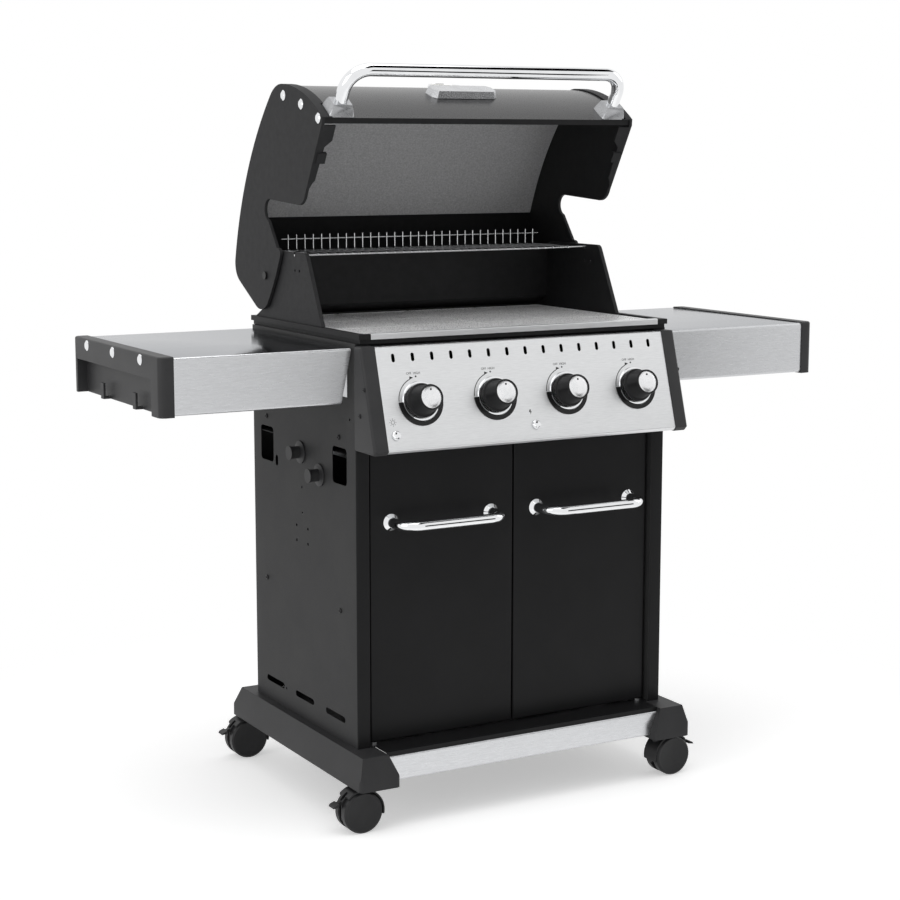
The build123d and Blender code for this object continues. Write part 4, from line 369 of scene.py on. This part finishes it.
def set_inputs(modifier, values):
    """Set a Geometry Nodes modifier's inputs by their socket identifiers."""
    for item in modifier.node_group.interface.items_tree:
        if item.in_out == "INPUT" and item.name in values:
            modifier[item.identifier] = values[item.name]


def node_finish(name):
    """Finish of a CAD node; numbered and placed nodes share one by kind."""
    if name in NODE_FINISH:
        return NODE_FINISH[name]
    if name.startswith("valve_collar"):
        return BRASS
    return CASTER_PLASTIC


def off_axis(point):
    """Distance in mm of a point from the nearest knob's axis."""
    arms = [point - Vector((x * MM, KNOB_ROW.y, KNOB_ROW.z)) for x in KNOB_X]
    return min((arm - FASCIA_OUT * arm.dot(FASCIA_OUT)).length for arm in arms) / MM


def shaded_inward_face(face):
    """True for the face of an end plate or wall that looks towards the middle of the grill; these faces get
    painted shade.
    """
    return face.normal.x * face.center.x < 0 and abs(face.normal.x) > 0.5


# Faces of a node that have another finish than the rest, some of them painted shade: node, finish and test
SECOND_FINISH = (
    ("knob_bezels", LAMP_ACRYLIC, lambda face: off_axis(face.center) > BEZEL_RADIUS),
    ("fasteners", BLACK_OXIDE, lambda face: face.center.z > 1.0),
    ("lid_handle", PLINTH_ALLOY,
     lambda face: (face.center - HANDLE_SEAT).dot(HANDLE_OUT) < PLINTH_TOP * MM),
    # Painted shade: the inward faces of the lid's end plates get the near-black cook box enamel
    ("lid_ends", COOK_ENAMEL_AND_PAINTED_SHADE, shaded_inward_face),
    # Painted shade: the lid skin's forward faces get the near-black cook box enamel
    ("lid_skin", COOK_ENAMEL_AND_PAINTED_SHADE, lambda face: face.normal.y < -0.6 and face.normal.z < 0.5),
    # Painted shade: the inward faces of the cook box walls get the same near-black enamel
    ("cook_box_sides", COOK_ENAMEL_AND_PAINTED_SHADE, shaded_inward_face),
    # Painted shade: the side panels' front flanges get the darker door coat
    ("side_panel_left", DOOR_COAT_AND_PAINTED_SHADE, lambda face: face.normal.y < -0.5),
    ("side_panel_right", DOOR_COAT_AND_PAINTED_SHADE, lambda face: face.normal.y < -0.5),
    ("shelf_left", SHELF_POLISH, lambda face: face.normal.z > 0.9),
    ("shelf_right", SHELF_POLISH, lambda face: face.normal.z > 0.9),
)


def finish_cad_nodes():
    """Give every CAD node its finish and smooth shading on its curved faces."""
    tree = soft_edge_tree()
    for name, piece in NODES.items():
        piece.data.materials.clear()
        piece.data.materials.append(node_finish(name))
        modifier = piece.modifiers.new("smooth_cad_faces", "NODES")
        modifier.node_group = tree
        set_inputs(modifier, {"Limit": math.radians(SHARP_EDGE)})
    for name, second, test in SECOND_FINISH:
        mesh = NODES[name].data
        mesh.materials.append(second)
        for face in mesh.polygons:
            face.material_index = 1 if test(face) else 0


# Making pieces

def show(mesh, name, body, slot, *materials):
    """Put a mesh into the scene as a piece that rides on a body."""
    for made in materials:
        mesh.materials.append(made)
    piece = bpy.data.objects.new(name, mesh)
    bpy.context.scene.collection.objects.link(piece)
    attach(piece, body)
    return piece


def mesh_of(shape, name):
    """Turn a finished bmesh into a mesh."""
    mesh = bpy.data.meshes.new(name)
    shape.to_mesh(mesh)
    shape.free()
    return mesh


def lathe(shape, profile, place, segments=64, material=0, size=1.0):
    """Turn a profile of (radius, height) in mm about the z axis of a place matrix."""
    rings = []
    for radius, height in profile:
        if radius == 0:
            rings.append([shape.verts.new(place @ Vector((0, 0, height * size * MM)))])
            continue
        ring = []
        for i in range(segments):
            angle = 2 * math.pi * i / segments
            point = Vector((radius * math.cos(angle), radius * math.sin(angle), height)) * size * MM
            ring.append(shape.verts.new(place @ point))
        rings.append(ring)
    for low, high in zip(rings, rings[1:]):
        for i in range(segments):
            j = (i + 1) % segments
            if len(high) == 1:
                corners = (low[i], low[j], high[0])
            elif len(low) == 1:
                corners = (low[0], high[j], high[i])
            else:
                corners = (low[i], low[j], high[j], high[i])
            face = shape.faces.new(corners)
            face.smooth = True
            face.material_index = material


def plane_matrix(point, out, up):
    """Matrix on a surface: y along up, z outwards."""
    across = up.cross(out)
    return Matrix.Translation(point) @ Matrix((across, up, out)).transposed().to_4x4()


def fascia_place(x_mm, up_mm=0.0):
    """Matrix on the control panel; up is counted from the row of knobs."""
    point = Vector((x_mm * MM, KNOB_ROW.y, KNOB_ROW.z)) + FASCIA_UP * up_mm * MM
    return plane_matrix(point, FASCIA_OUT, FASCIA_UP)


def patch(shape, points, place, height=INK_HEIGHT, material=0):
    """Thin raised polygon through (x, y) points in mm."""
    top = [shape.verts.new(place @ Vector((x * MM, y * MM, height * MM))) for x, y in points]
    low = [shape.verts.new(place @ Vector((x * MM, y * MM, INK_FOOT * MM))) for x, y in points]
    faces = [shape.faces.new(top)]
    for i in range(len(points)):
        j = (i + 1) % len(points)
        faces.append(shape.faces.new((low[i], low[j], top[j], top[i])))
    for face in faces:
        face.material_index = material


def arc(radius, start, end, steps):
    """Points on a circle between two angles in degrees."""
    angles = [math.radians(start + (end - start) * i / steps) for i in range(steps + 1)]
    return [(radius * math.cos(a), radius * math.sin(a)) for a in angles]


def stroke(shape, place, radius, width, start, end, steps=24, material=0):
    """Printed arc, as a row of short raised quads."""
    inside = arc(radius - width / 2, start, end, steps)
    outside = arc(radius + width / 2, start, end, steps)
    order = -1 if end > start else 1
    for i in range(steps):
        quad = (inside[i], outside[i], outside[i + 1], inside[i + 1])
        patch(shape, quad[::order], place, material=material)


def lettering(shape, words, height_mm, place, material=0):
    """Raised words in the plain built-in face, centred on a place."""
    text = bpy.data.curves.new("lettering", "FONT")
    text.body = words
    text.size = height_mm * MM * LETTER_EM
    text.align_x = "CENTER"
    text.align_y = "CENTER"
    text.extrude = INK_HEIGHT / 2 * MM
    holder = bpy.data.objects.new("lettering", text)
    mesh = bpy.data.meshes.new_from_object(holder)
    mesh.transform(place @ Matrix.Translation((0, 0, INK_HEIGHT / 2 * MM)))
    known = len(shape.faces)
    shape.from_mesh(mesh)
    shape.faces.ensure_lookup_table()
    for face in shape.faces[known:]:
        face.material_index = material
    bpy.data.objects.remove(holder)
    bpy.data.curves.remove(text)
    bpy.data.meshes.remove(mesh)


# Rows of bars and sets of screws, by Geometry Nodes

def bar_row_tree():
    """One path, rounded at its bends, swept with an oval section and repeated in a row."""
    tree, given = geometry_tree("bar_row", {
        "Width": "Float", "Height": "Float", "Sides": "Int", "Bend": "Float", "Count": "Int",
        "Step": "Vector", "Finish": "Material",
    })
    path = add(tree, "GeometryNodeMeshToCurve", {"Mesh": given["Geometry"]})
    bent = add(tree, "GeometryNodeFilletCurve", mode="POLY", inputs={
        "Curve": path.outputs[0], "Radius": given["Bend"], "Count": 6, "Limit Radius": True,
    })
    circle = add(tree, "GeometryNodeCurvePrimitiveCircle", {"Resolution": given["Sides"], "Radius": 0.5})
    scale = add(tree, "ShaderNodeCombineXYZ", {"X": given["Height"], "Y": given["Width"], "Z": 1.0})
    oval = add(tree, "GeometryNodeTransform", {"Geometry": circle.outputs[0], "Scale": scale.outputs[0]})
    swept = add(tree, "GeometryNodeCurveToMesh", {
        "Curve": bent.outputs[0], "Profile Curve": oval.outputs[0], "Fill Caps": True,
    })
    row = add(tree, "GeometryNodeMeshLine", mode="OFFSET", inputs={
        "Count": given["Count"], "Offset": given["Step"],
    })
    placed = add(tree, "GeometryNodeInstanceOnPoints", {
        "Points": row.outputs[0], "Instance": swept.outputs[0],
    })
    real = add(tree, "GeometryNodeRealizeInstances", {"Geometry": placed.outputs[0]})
    coated = add(tree, "GeometryNodeSetMaterial", {
        "Geometry": real.outputs[0], "Material": given["Finish"],
    })
    add(tree, "NodeGroupOutput", {"Geometry": coated.outputs[0]})
    return tree


def stud_tree():
    """A small turned head on every point, facing along the point's own direction."""
    tree, given = geometry_tree("stud_set", {"Head": "Object", "Finish": "Material"})
    facing = add(tree, "GeometryNodeInputNamedAttribute", {"Name": "facing"}, data_type="FLOAT_VECTOR")
    size = add(tree, "GeometryNodeInputNamedAttribute", {"Name": "size"}, data_type="FLOAT")
    turn = add(tree, "FunctionNodeAlignRotationToVector", {"Vector": facing.outputs[0]}, axis="Z")
    head = add(tree, "GeometryNodeObjectInfo", {"Object": given["Head"]})
    placed = add(tree, "GeometryNodeInstanceOnPoints", {
        "Points": given["Geometry"], "Instance": head.outputs["Geometry"], "Rotation": turn.outputs[0],
        "Scale": size.outputs[0],
    })
    real = add(tree, "GeometryNodeRealizeInstances", {"Geometry": placed.outputs[0]})
    coated = add(tree, "GeometryNodeSetMaterial", {
        "Geometry": real.outputs[0], "Material": given["Finish"],
    })
    add(tree, "NodeGroupOutput", {"Geometry": coated.outputs[0]})
    return tree


def grown(tree, mesh, values):
    """Plain mesh that a Geometry Nodes tree makes from a mesh."""
    holder = bpy.data.objects.new("grown", mesh)
    bpy.context.scene.collection.objects.link(holder)
    modifier = holder.modifiers.new("grown", "NODES")
    modifier.node_group = tree
    set_inputs(modifier, values)
    graph = bpy.context.evaluated_depsgraph_get()
    made = bpy.data.meshes.new_from_object(holder.evaluated_get(graph))
    bpy.data.objects.remove(holder)
    return made


def path_mesh(points):
    """Mesh of one open path through points in mm."""
    mesh = bpy.data.meshes.new("path")
    edges = [(i, i + 1) for i in range(len(points) - 1)]
    mesh.from_pydata([Vector(point) * MM for point in points], edges, [])
    return mesh


def bars(rows, name, body, slot, material):
    """Piece of bar rows: (points, width, height, sides, bend, count, step) each, in mm."""
    tree = bar_row_tree()
    shape = bmesh.new()
    for points, width, height, sides, bend, count, step in rows:
        mesh = grown(tree, path_mesh(points), {
            "Width": width * MM, "Height": height * MM, "Sides": sides, "Bend": bend * MM, "Count": count,
            "Step": Vector(step) * MM, "Finish": material,
        })
        shape.from_mesh(mesh)
        bpy.data.meshes.remove(mesh)
    bmesh.ops.recalc_face_normals(shape, faces=shape.faces)
    for face in shape.faces:
        face.smooth = len(face.verts) == 4
    return show(mesh_of(shape, name), name, body, slot, material)


def studs(places, profile, segments, name, body, slot, material):
    """Piece of small turned heads at (point, direction, size in mm)."""
    head = bmesh.new()
    lathe(head, profile, Matrix(), segments)
    template = bpy.data.objects.new("head", mesh_of(head, "head"))
    bpy.context.scene.collection.objects.link(template)
    points = bpy.data.meshes.new("points")
    points.from_pydata([place[0] for place in places], [], [])
    points.attributes.new("facing", "FLOAT_VECTOR", "POINT")
    points.attributes.new("size", "FLOAT", "POINT")
    for i, (_, direction, radius) in enumerate(places):
        points.attributes["facing"].data[i].vector = direction
        points.attributes["size"].data[i].value = radius
    mesh = grown(stud_tree(), points, {"Head": template, "Finish": material})
    bpy.data.objects.remove(template)
    mesh.name = name
    return show(mesh, name, body, slot)


# Pieces that take the place of plain CAD nodes or add what is printed and fixed on them

def knobs():
    """Turned knobs with a satin insert and a pointer dot, in place of the plain ones."""
    for name, x in zip(KNOB_BODIES, KNOB_X):
        place = fascia_place(x)
        shape = bmesh.new()
        lathe(shape, ((0, KNOB_FOOT), KNOB_PROFILE[0]), place)
        lathe(shape, KNOB_PROFILE, place)
        lathe(shape, INSERT_PROFILE, place, material=1)
        dot = place @ Matrix.Translation((0, POINTER_UP * MM, 0))
        lathe(shape, POINTER_PROFILE, dot, 20, 2)
        bmesh.ops.remove_doubles(shape, verts=shape.verts, dist=1e-6)
        piece = show(mesh_of(shape, name), f"turned_{name}", name, "knob_plastic",
                     KNOB_PLASTIC, INSERT_ALLOY, INK)
        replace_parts(piece, name)


def buttons():
    """Dished chrome push buttons, in place of the plain ones."""
    for name, x in (("light_button", LIGHT_BUTTON_X), ("ignition_button", IGNITION_BUTTON_X)):
        shape = bmesh.new()
        lathe(shape, ((0, BUTTON_PROFILE[0][1]), *BUTTON_PROFILE), fascia_place(x, BUTTON_UP), 40)
        piece = show(mesh_of(shape, name), f"turned_{name}", name, "chrome", CHROME)
        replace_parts(piece, name)


def fascia_print():
    """Ink on the control panel: a turning arc and words at each knob, a bulb and a spark at the buttons."""
    shape = bmesh.new()
    for x in KNOB_X:
        stroke(shape, fascia_place(x), **TURN_ARC)
        patch(shape, ARROW, fascia_place(x + ARROW_PLACE[0], ARROW_PLACE[1]))
        dot = arc(OFF_DOT_RADIUS, 0, 330, 11)  # twelve corners
        patch(shape, dot, fascia_place(x + OFF_DOT_PLACE[0], OFF_DOT_PLACE[1]))
        words = fascia_place(x + KNOB_WORDS_PLACE[0], KNOB_WORDS_PLACE[1])
        lettering(shape, KNOB_WORDS, KNOB_WORDS_HEIGHT, words)
    bulb = fascia_place(LIGHT_BUTTON_X + BULB_SIDE, BUTTON_UP + SYMBOL_UP)
    stroke(shape, bulb, **BULB_RING, material=1)
    for i in range(BULB_RAYS):
        ray = bulb @ Matrix.Rotation(2 * math.pi * i / BULB_RAYS, 4, "Z")
        patch(shape, BULB_RAY, ray, material=1)
    patch(shape, SPARK, fascia_place(IGNITION_BUTTON_X + SPARK_SIDE, BUTTON_UP + SYMBOL_UP))
    show(mesh_of(shape, "fascia_print"), "fascia_print", "cart", "black_plastic", INK, GREY_INK)


def gauge_dial():
    """Enamelled dial with ticks, numbers and a needle, inside the bezel of the lid's thermometer."""
    up = Vector((1, 0, 0)).cross(GAUGE_OUT) * -1
    face = plane_matrix(GAUGE_SEAT + GAUGE_OUT * GAUGE_FACE * MM, GAUGE_OUT, up)
    shape = bmesh.new()
    lathe(shape, DIAL_PROFILE, face, 48)
    ink = face @ Matrix.Translation((0, 0, GAUGE_INK * MM))
    for i in range(GAUGE_TICKS + 1):
        angle = GAUGE_START - GAUGE_SWEEP * i / GAUGE_TICKS
        turned = ink @ Matrix.Rotation(math.radians(angle), 4, "Z")
        start = TICK_START[i % LONG_TICK == 0]
        tick = ((start, -TICK_HALF), (TICK_END, -TICK_HALF), (TICK_END, TICK_HALF), (start, TICK_HALF))
        patch(shape, tick, turned, material=1)
    for i, number in enumerate(GAUGE_NUMBERS):
        angle = math.radians(GAUGE_START - GAUGE_SWEEP * i / (len(GAUGE_NUMBERS) - 1))
        spot = Vector((math.cos(angle), math.sin(angle), 0)) * NUMBER_RADIUS * MM
        lettering(shape, number, NUMBER_HEIGHT, ink @ Matrix.Translation(spot), material=1)
    needle = ink @ Matrix.Rotation(math.radians(GAUGE_START), 4, "Z")
    patch(shape, NEEDLE, needle, NEEDLE_HEIGHT, 1)
    lathe(shape, NEEDLE_HUB, ink, 20, 1)
    show(mesh_of(shape, "gauge_dial"), "gauge_dial", "lid", "plate_metal", DIAL_WHITE, INK)


def warming_rack():
    """Round wires bent up into a fence, on two rods, in place of the square ones."""
    low, high = [Vector(corner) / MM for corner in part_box("warming_rack")]
    front, rear = low.y + RACK_FRONT_INSET, high.y - RACK_REAR_INSET
    rod = low.z + RACK_ROD
    deck = low.z + 2 * RACK_ROD + RACK_WIRE * RACK_WELD
    first = -(RACK_WIRES - 1) / 2 * RACK_PITCH
    end = -first + RACK_RAIL_END
    top = min(deck + RACK_FENCE, high.z - RACK_WIRE)
    half = high.x
    nose = low.y + RACK_WIRE + RACK_NOSE
    fence = rear - RACK_FENCE_INSET
    middle = (front + rear) / 2
    wire = [
        (first, nose, low.z + RACK_WIRE), (first, nose, deck), (first, fence, deck), (first, fence, top),
    ]
    rows = [(wire, 2 * RACK_WIRE, 2 * RACK_WIRE, 8, RACK_BEND, RACK_WIRES, (RACK_PITCH, 0, 0))]
    for reach, y, z, radius, sides in (
        (half, front, rod, RACK_ROD, 12),
        (half, rear, rod, RACK_ROD, 12),
        (end, middle, rod + RACK_RAIL_LIFT, RACK_RAIL, 8),
        (end, rear + RACK_RAIL_BACK, top - RACK_RAIL_DROP, RACK_RAIL, 8),
    ):
        rows.append(([(-reach, y, z), (reach, y, z)], 2 * radius, 2 * radius, sides, 0, 1, (0, 0, 0)))
    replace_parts(bars(rows, "warming_rack_wires", "cart", "chrome", RACK_CHROME), "warming_rack")


def cooking_grates():
    """Oval rods in four frames, in place of the plain grates."""
    low, high = [Vector(corner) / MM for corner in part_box("cooking_grates")]
    width = (high.x - low.x) / GRATE_COUNT
    rows = []
    for i in range(GRATE_COUNT):
        x0 = low.x + i * width + GRATE_GAP / 2
        x1 = low.x + (i + 1) * width - GRATE_GAP / 2
        frame_half = GRATE_FRAME[0] / 2
        y0, y1 = low.y + frame_half, high.y - frame_half
        left, right = x0 + frame_half, x1 - frame_half
        level = high.z - GRATE_FRAME[1] / 2
        bar_level = high.z - GRATE_BAR[1] / 2
        pitch = (right - left) / (GRATE_BARS + 1)
        rows.append(([(left, y0, level), (left, y1, level)], *GRATE_FRAME, 10, 0, 2, (right - left, 0, 0)))
        rows.append(([(left, y0, level), (right, y0, level)], *GRATE_FRAME, 10, 0, 2, (0, y1 - y0, 0)))
        rows.append(([(left + pitch, y0, bar_level), (left + pitch, y1, bar_level)], *GRATE_BAR, 8, 0,
                     GRATE_BARS, (pitch, 0, 0)))
        cross = (y1 - y0) / (GRATE_CROSSES + 1)
        cross_level = bar_level - GRATE_CROSS_DROP
        ends = [(left, y0 + cross, cross_level), (right, y0 + cross, cross_level)]
        rows.append((ends, *GRATE_CROSS, 8, 0, GRATE_CROSSES, (0, cross, 0)))
    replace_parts(bars(rows, "cooking_grate_rods", "cart", "grate_steel", GRATE_STEEL_AND_HIGHLIGHT), "cooking_grates")


def burner_ports():
    """Rows of flame ports along both sides of the burner tubes."""
    places = []
    low, high = [Vector(corner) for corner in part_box("burners")]
    radius = BURNER_RADIUS * MM
    first = low.y + PORT_START * MM
    run = high.y - low.y - (PORT_START + PORT_END) * MM
    angle = math.radians(PORT_ANGLE)
    for x in KNOB_X:
        for side in (-1, 1):
            out = Vector((side * math.cos(angle), 0, math.sin(angle)))
            for i in range(PORT_COUNT):
                y = first + run * i / (PORT_COUNT - 1)
                point = Vector((x * MM, y, high.z - radius)) + out * (radius + PORT_LIFT * MM)
                places.append((point, out, PORT_RADIUS))
    studs(places, PORT_PROFILE, 8, "burner_ports", "cart", "burner_steel", BURNER_PORT)


def screws():
    """Pan-head screws of the cart: black on the side panels and the control panel's caps, zinc on the rear
    flanges and the rear panel.
    """
    side_box, rear_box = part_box("side_panel_right"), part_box("rear_panel")
    wall, back = side_box[1].x, side_box[1].y
    middle = (side_box[0].y + side_box[1].y) / 2
    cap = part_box("control_panel_caps")[1]
    rearward = Vector((0, 1, 0))
    black, zinc = [], []
    for sign in (-1, 1):
        out = Vector((sign, 0, 0))
        for y, z in SIDE_SCREWS:
            black.append((Vector((sign * wall, middle + y * MM, z * MM)), out, SIDE_SCREW))
        for z in FLANGE_SCREWS:
            zinc.append((Vector((sign * (wall - FLANGE_INSET * MM), back, z * MM)), rearward, REAR_SCREW))
        for y, z in CAP_SCREWS:
            black.append((Vector((sign * cap.x, cap.y - y * MM, z * MM)), out, CAP_SCREW))
    for x in REAR_PANEL_SCREWS:
        for z in (rear_box[0].z / MM + REAR_PANEL_INSET, rear_box[1].z / MM - REAR_PANEL_INSET):
            zinc.append((Vector((x * MM, rear_box[1].y, z * MM)), rearward, REAR_SCREW))
    studs(black, SCREW_PROFILE, 18, "black_screws", "cart", "black_plastic", BLACK_OXIDE)
    studs(zinc, SCREW_PROFILE, 18, "rear_screws", "cart", "galvanised", ZINC_PLATE)


# Stage

def card_axes(facing):
    """Outward and upward directions of a card whose long side is level."""
    out = Vector(facing).normalized()
    across = Vector((0, 0, 1)).cross(out).normalized()
    return out, out.cross(across)


def surroundings():
    """White world: a plain level of light on the object, full white where it is seen."""
    world = bpy.data.worlds.new("studio")
    world.use_nodes = True
    bpy.context.scene.world = world
    tree = world.node_tree
    tree.nodes.clear()
    path = add(tree, "ShaderNodeLightPath").outputs
    seen = path["Is Camera Ray"]
    for ray in ("Is Glossy Ray", "Is Transmission Ray"):
        seen = add(tree, "ShaderNodeMath", {0: seen, 1: path[ray]}, operation="MAXIMUM").outputs[0]
    level = add(tree, "ShaderNodeMapRange", {
        "Value": seen, "To Min": WORLD_LEVEL[0], "To Max": WORLD_LEVEL[1],
    })
    light = add(tree, "ShaderNodeBackground", {"Color": (1, 1, 1, 1), "Strength": level.outputs[0]})
    add(tree, "ShaderNodeOutputWorld", {"Surface": light.outputs[0]})


def floor():
    """Pale floor that keeps the shadow near the grill and turns plain white further out."""
    made = bpy.data.materials.new("studio_floor")
    made.use_nodes = True
    tree = made.node_tree
    tree.nodes.clear()
    path = add(tree, "ShaderNodeLightPath").outputs
    place = add(tree, "ShaderNodeTexCoord").outputs["Object"]
    distance = add(tree, "ShaderNodeVectorMath", {0: place}, operation="LENGTH").outputs["Value"]
    far = add(tree, "ShaderNodeMapRange", {
        "Value": distance, "From Min": SHADOW_REACH[0], "From Max": SHADOW_REACH[1],
    }, interpolation_type="SMOOTHSTEP").outputs[0]
    matt = add(tree, "ShaderNodeBsdfDiffuse", {"Color": linear("f4f4f4")}).outputs[0]
    glow = add(tree, "ShaderNodeEmission", {"Color": (1, 1, 1, 1), "Strength": FLOOR_GLOW}).outputs[0]
    white = add(tree, "ShaderNodeEmission", {"Color": (1, 1, 1, 1), "Strength": 1.0}).outputs[0]
    near = add(tree, "ShaderNodeAddShader", {0: matt, 1: glow}).outputs[0]
    shown = add(tree, "ShaderNodeMixShader", {"Fac": far, 1: near, 2: white}).outputs[0]
    seen = add(tree, "ShaderNodeMath", operation="MAXIMUM", inputs={
        0: path["Is Camera Ray"], 1: path["Is Glossy Ray"],
    })
    mixed = add(tree, "ShaderNodeMixShader", {"Fac": seen.outputs[0], 1: matt, 2: shown})
    add(tree, "ShaderNodeOutputMaterial", {"Surface": mixed.outputs[0]})
    shape = bmesh.new()
    bmesh.ops.create_grid(shape, x_segments=1, y_segments=1, size=FLOOR_SIZE / 2)
    mesh = mesh_of(shape, "floor")
    mesh.materials.append(made)
    ground = bpy.data.objects.new("floor", mesh)
    bpy.context.scene.collection.objects.link(ground)


def flags():
    """Black cards that only reflections show, for the dark lines on the chrome."""
    # Black velvet: takes up nearly all light
    black = finish("black_velvet_flag", "050505", "080808", 20, 2, (0.9, 1.0), specular_ior_level=0.0)
    for name, spot, facing, size in FLAGS:
        place = plane_matrix(Vector(spot), *card_axes(facing))
        shape = bmesh.new()
        bmesh.ops.create_grid(shape, x_segments=1, y_segments=1, size=0.5)
        shape.transform(place @ Matrix.Diagonal((*size, 1, 1)))
        mesh = mesh_of(shape, name)
        mesh.materials.append(black)
        card = bpy.data.objects.new(name, mesh)
        for ray in ("camera", "diffuse", "transmission", "shadow"):
            setattr(card, f"visible_{ray}", False)
        bpy.context.scene.collection.objects.link(card)


def lamps():
    """Soft boxes that look at the middle of the grill."""
    for name, spot, size, power in SOFTBOXES:
        lamp = bpy.data.lights.new(name, "AREA")
        lamp.shape = "RECTANGLE"
        lamp.size, lamp.size_y = size
        lamp.energy = power
        holder = bpy.data.objects.new(name, lamp)
        holder.location = spot
        holder.rotation_euler = (LAMP_AIM - Vector(spot)).to_track_quat("-Z", "Y").to_euler()
        bpy.context.scene.collection.objects.link(holder)


def camera():
    """Camera at the photograph's viewing angle."""
    eye = bpy.data.cameras.new("camera")
    eye.lens = CAMERA_LENS
    eye.sensor_width = SENSOR_WIDTH
    eye.shift_x = CAMERA_SHIFT
    holder = bpy.data.objects.new("camera", eye)
    holder.location = CAMERA_PLACE
    aim = Vector(CAMERA_AIM) - Vector(CAMERA_PLACE)
    holder.rotation_euler = aim.to_track_quat("-Z", "Y").to_euler()
    bpy.context.scene.collection.objects.link(holder)
    bpy.context.scene.camera = holder


finish_cad_nodes()
knobs()
buttons()
fascia_print()
gauge_dial()
warming_rack()
cooking_grates()
burner_ports()
screws()
bpy.context.scene.view_settings.view_transform = "Standard"
surroundings()
floor()
flags()
lamps()
camera()
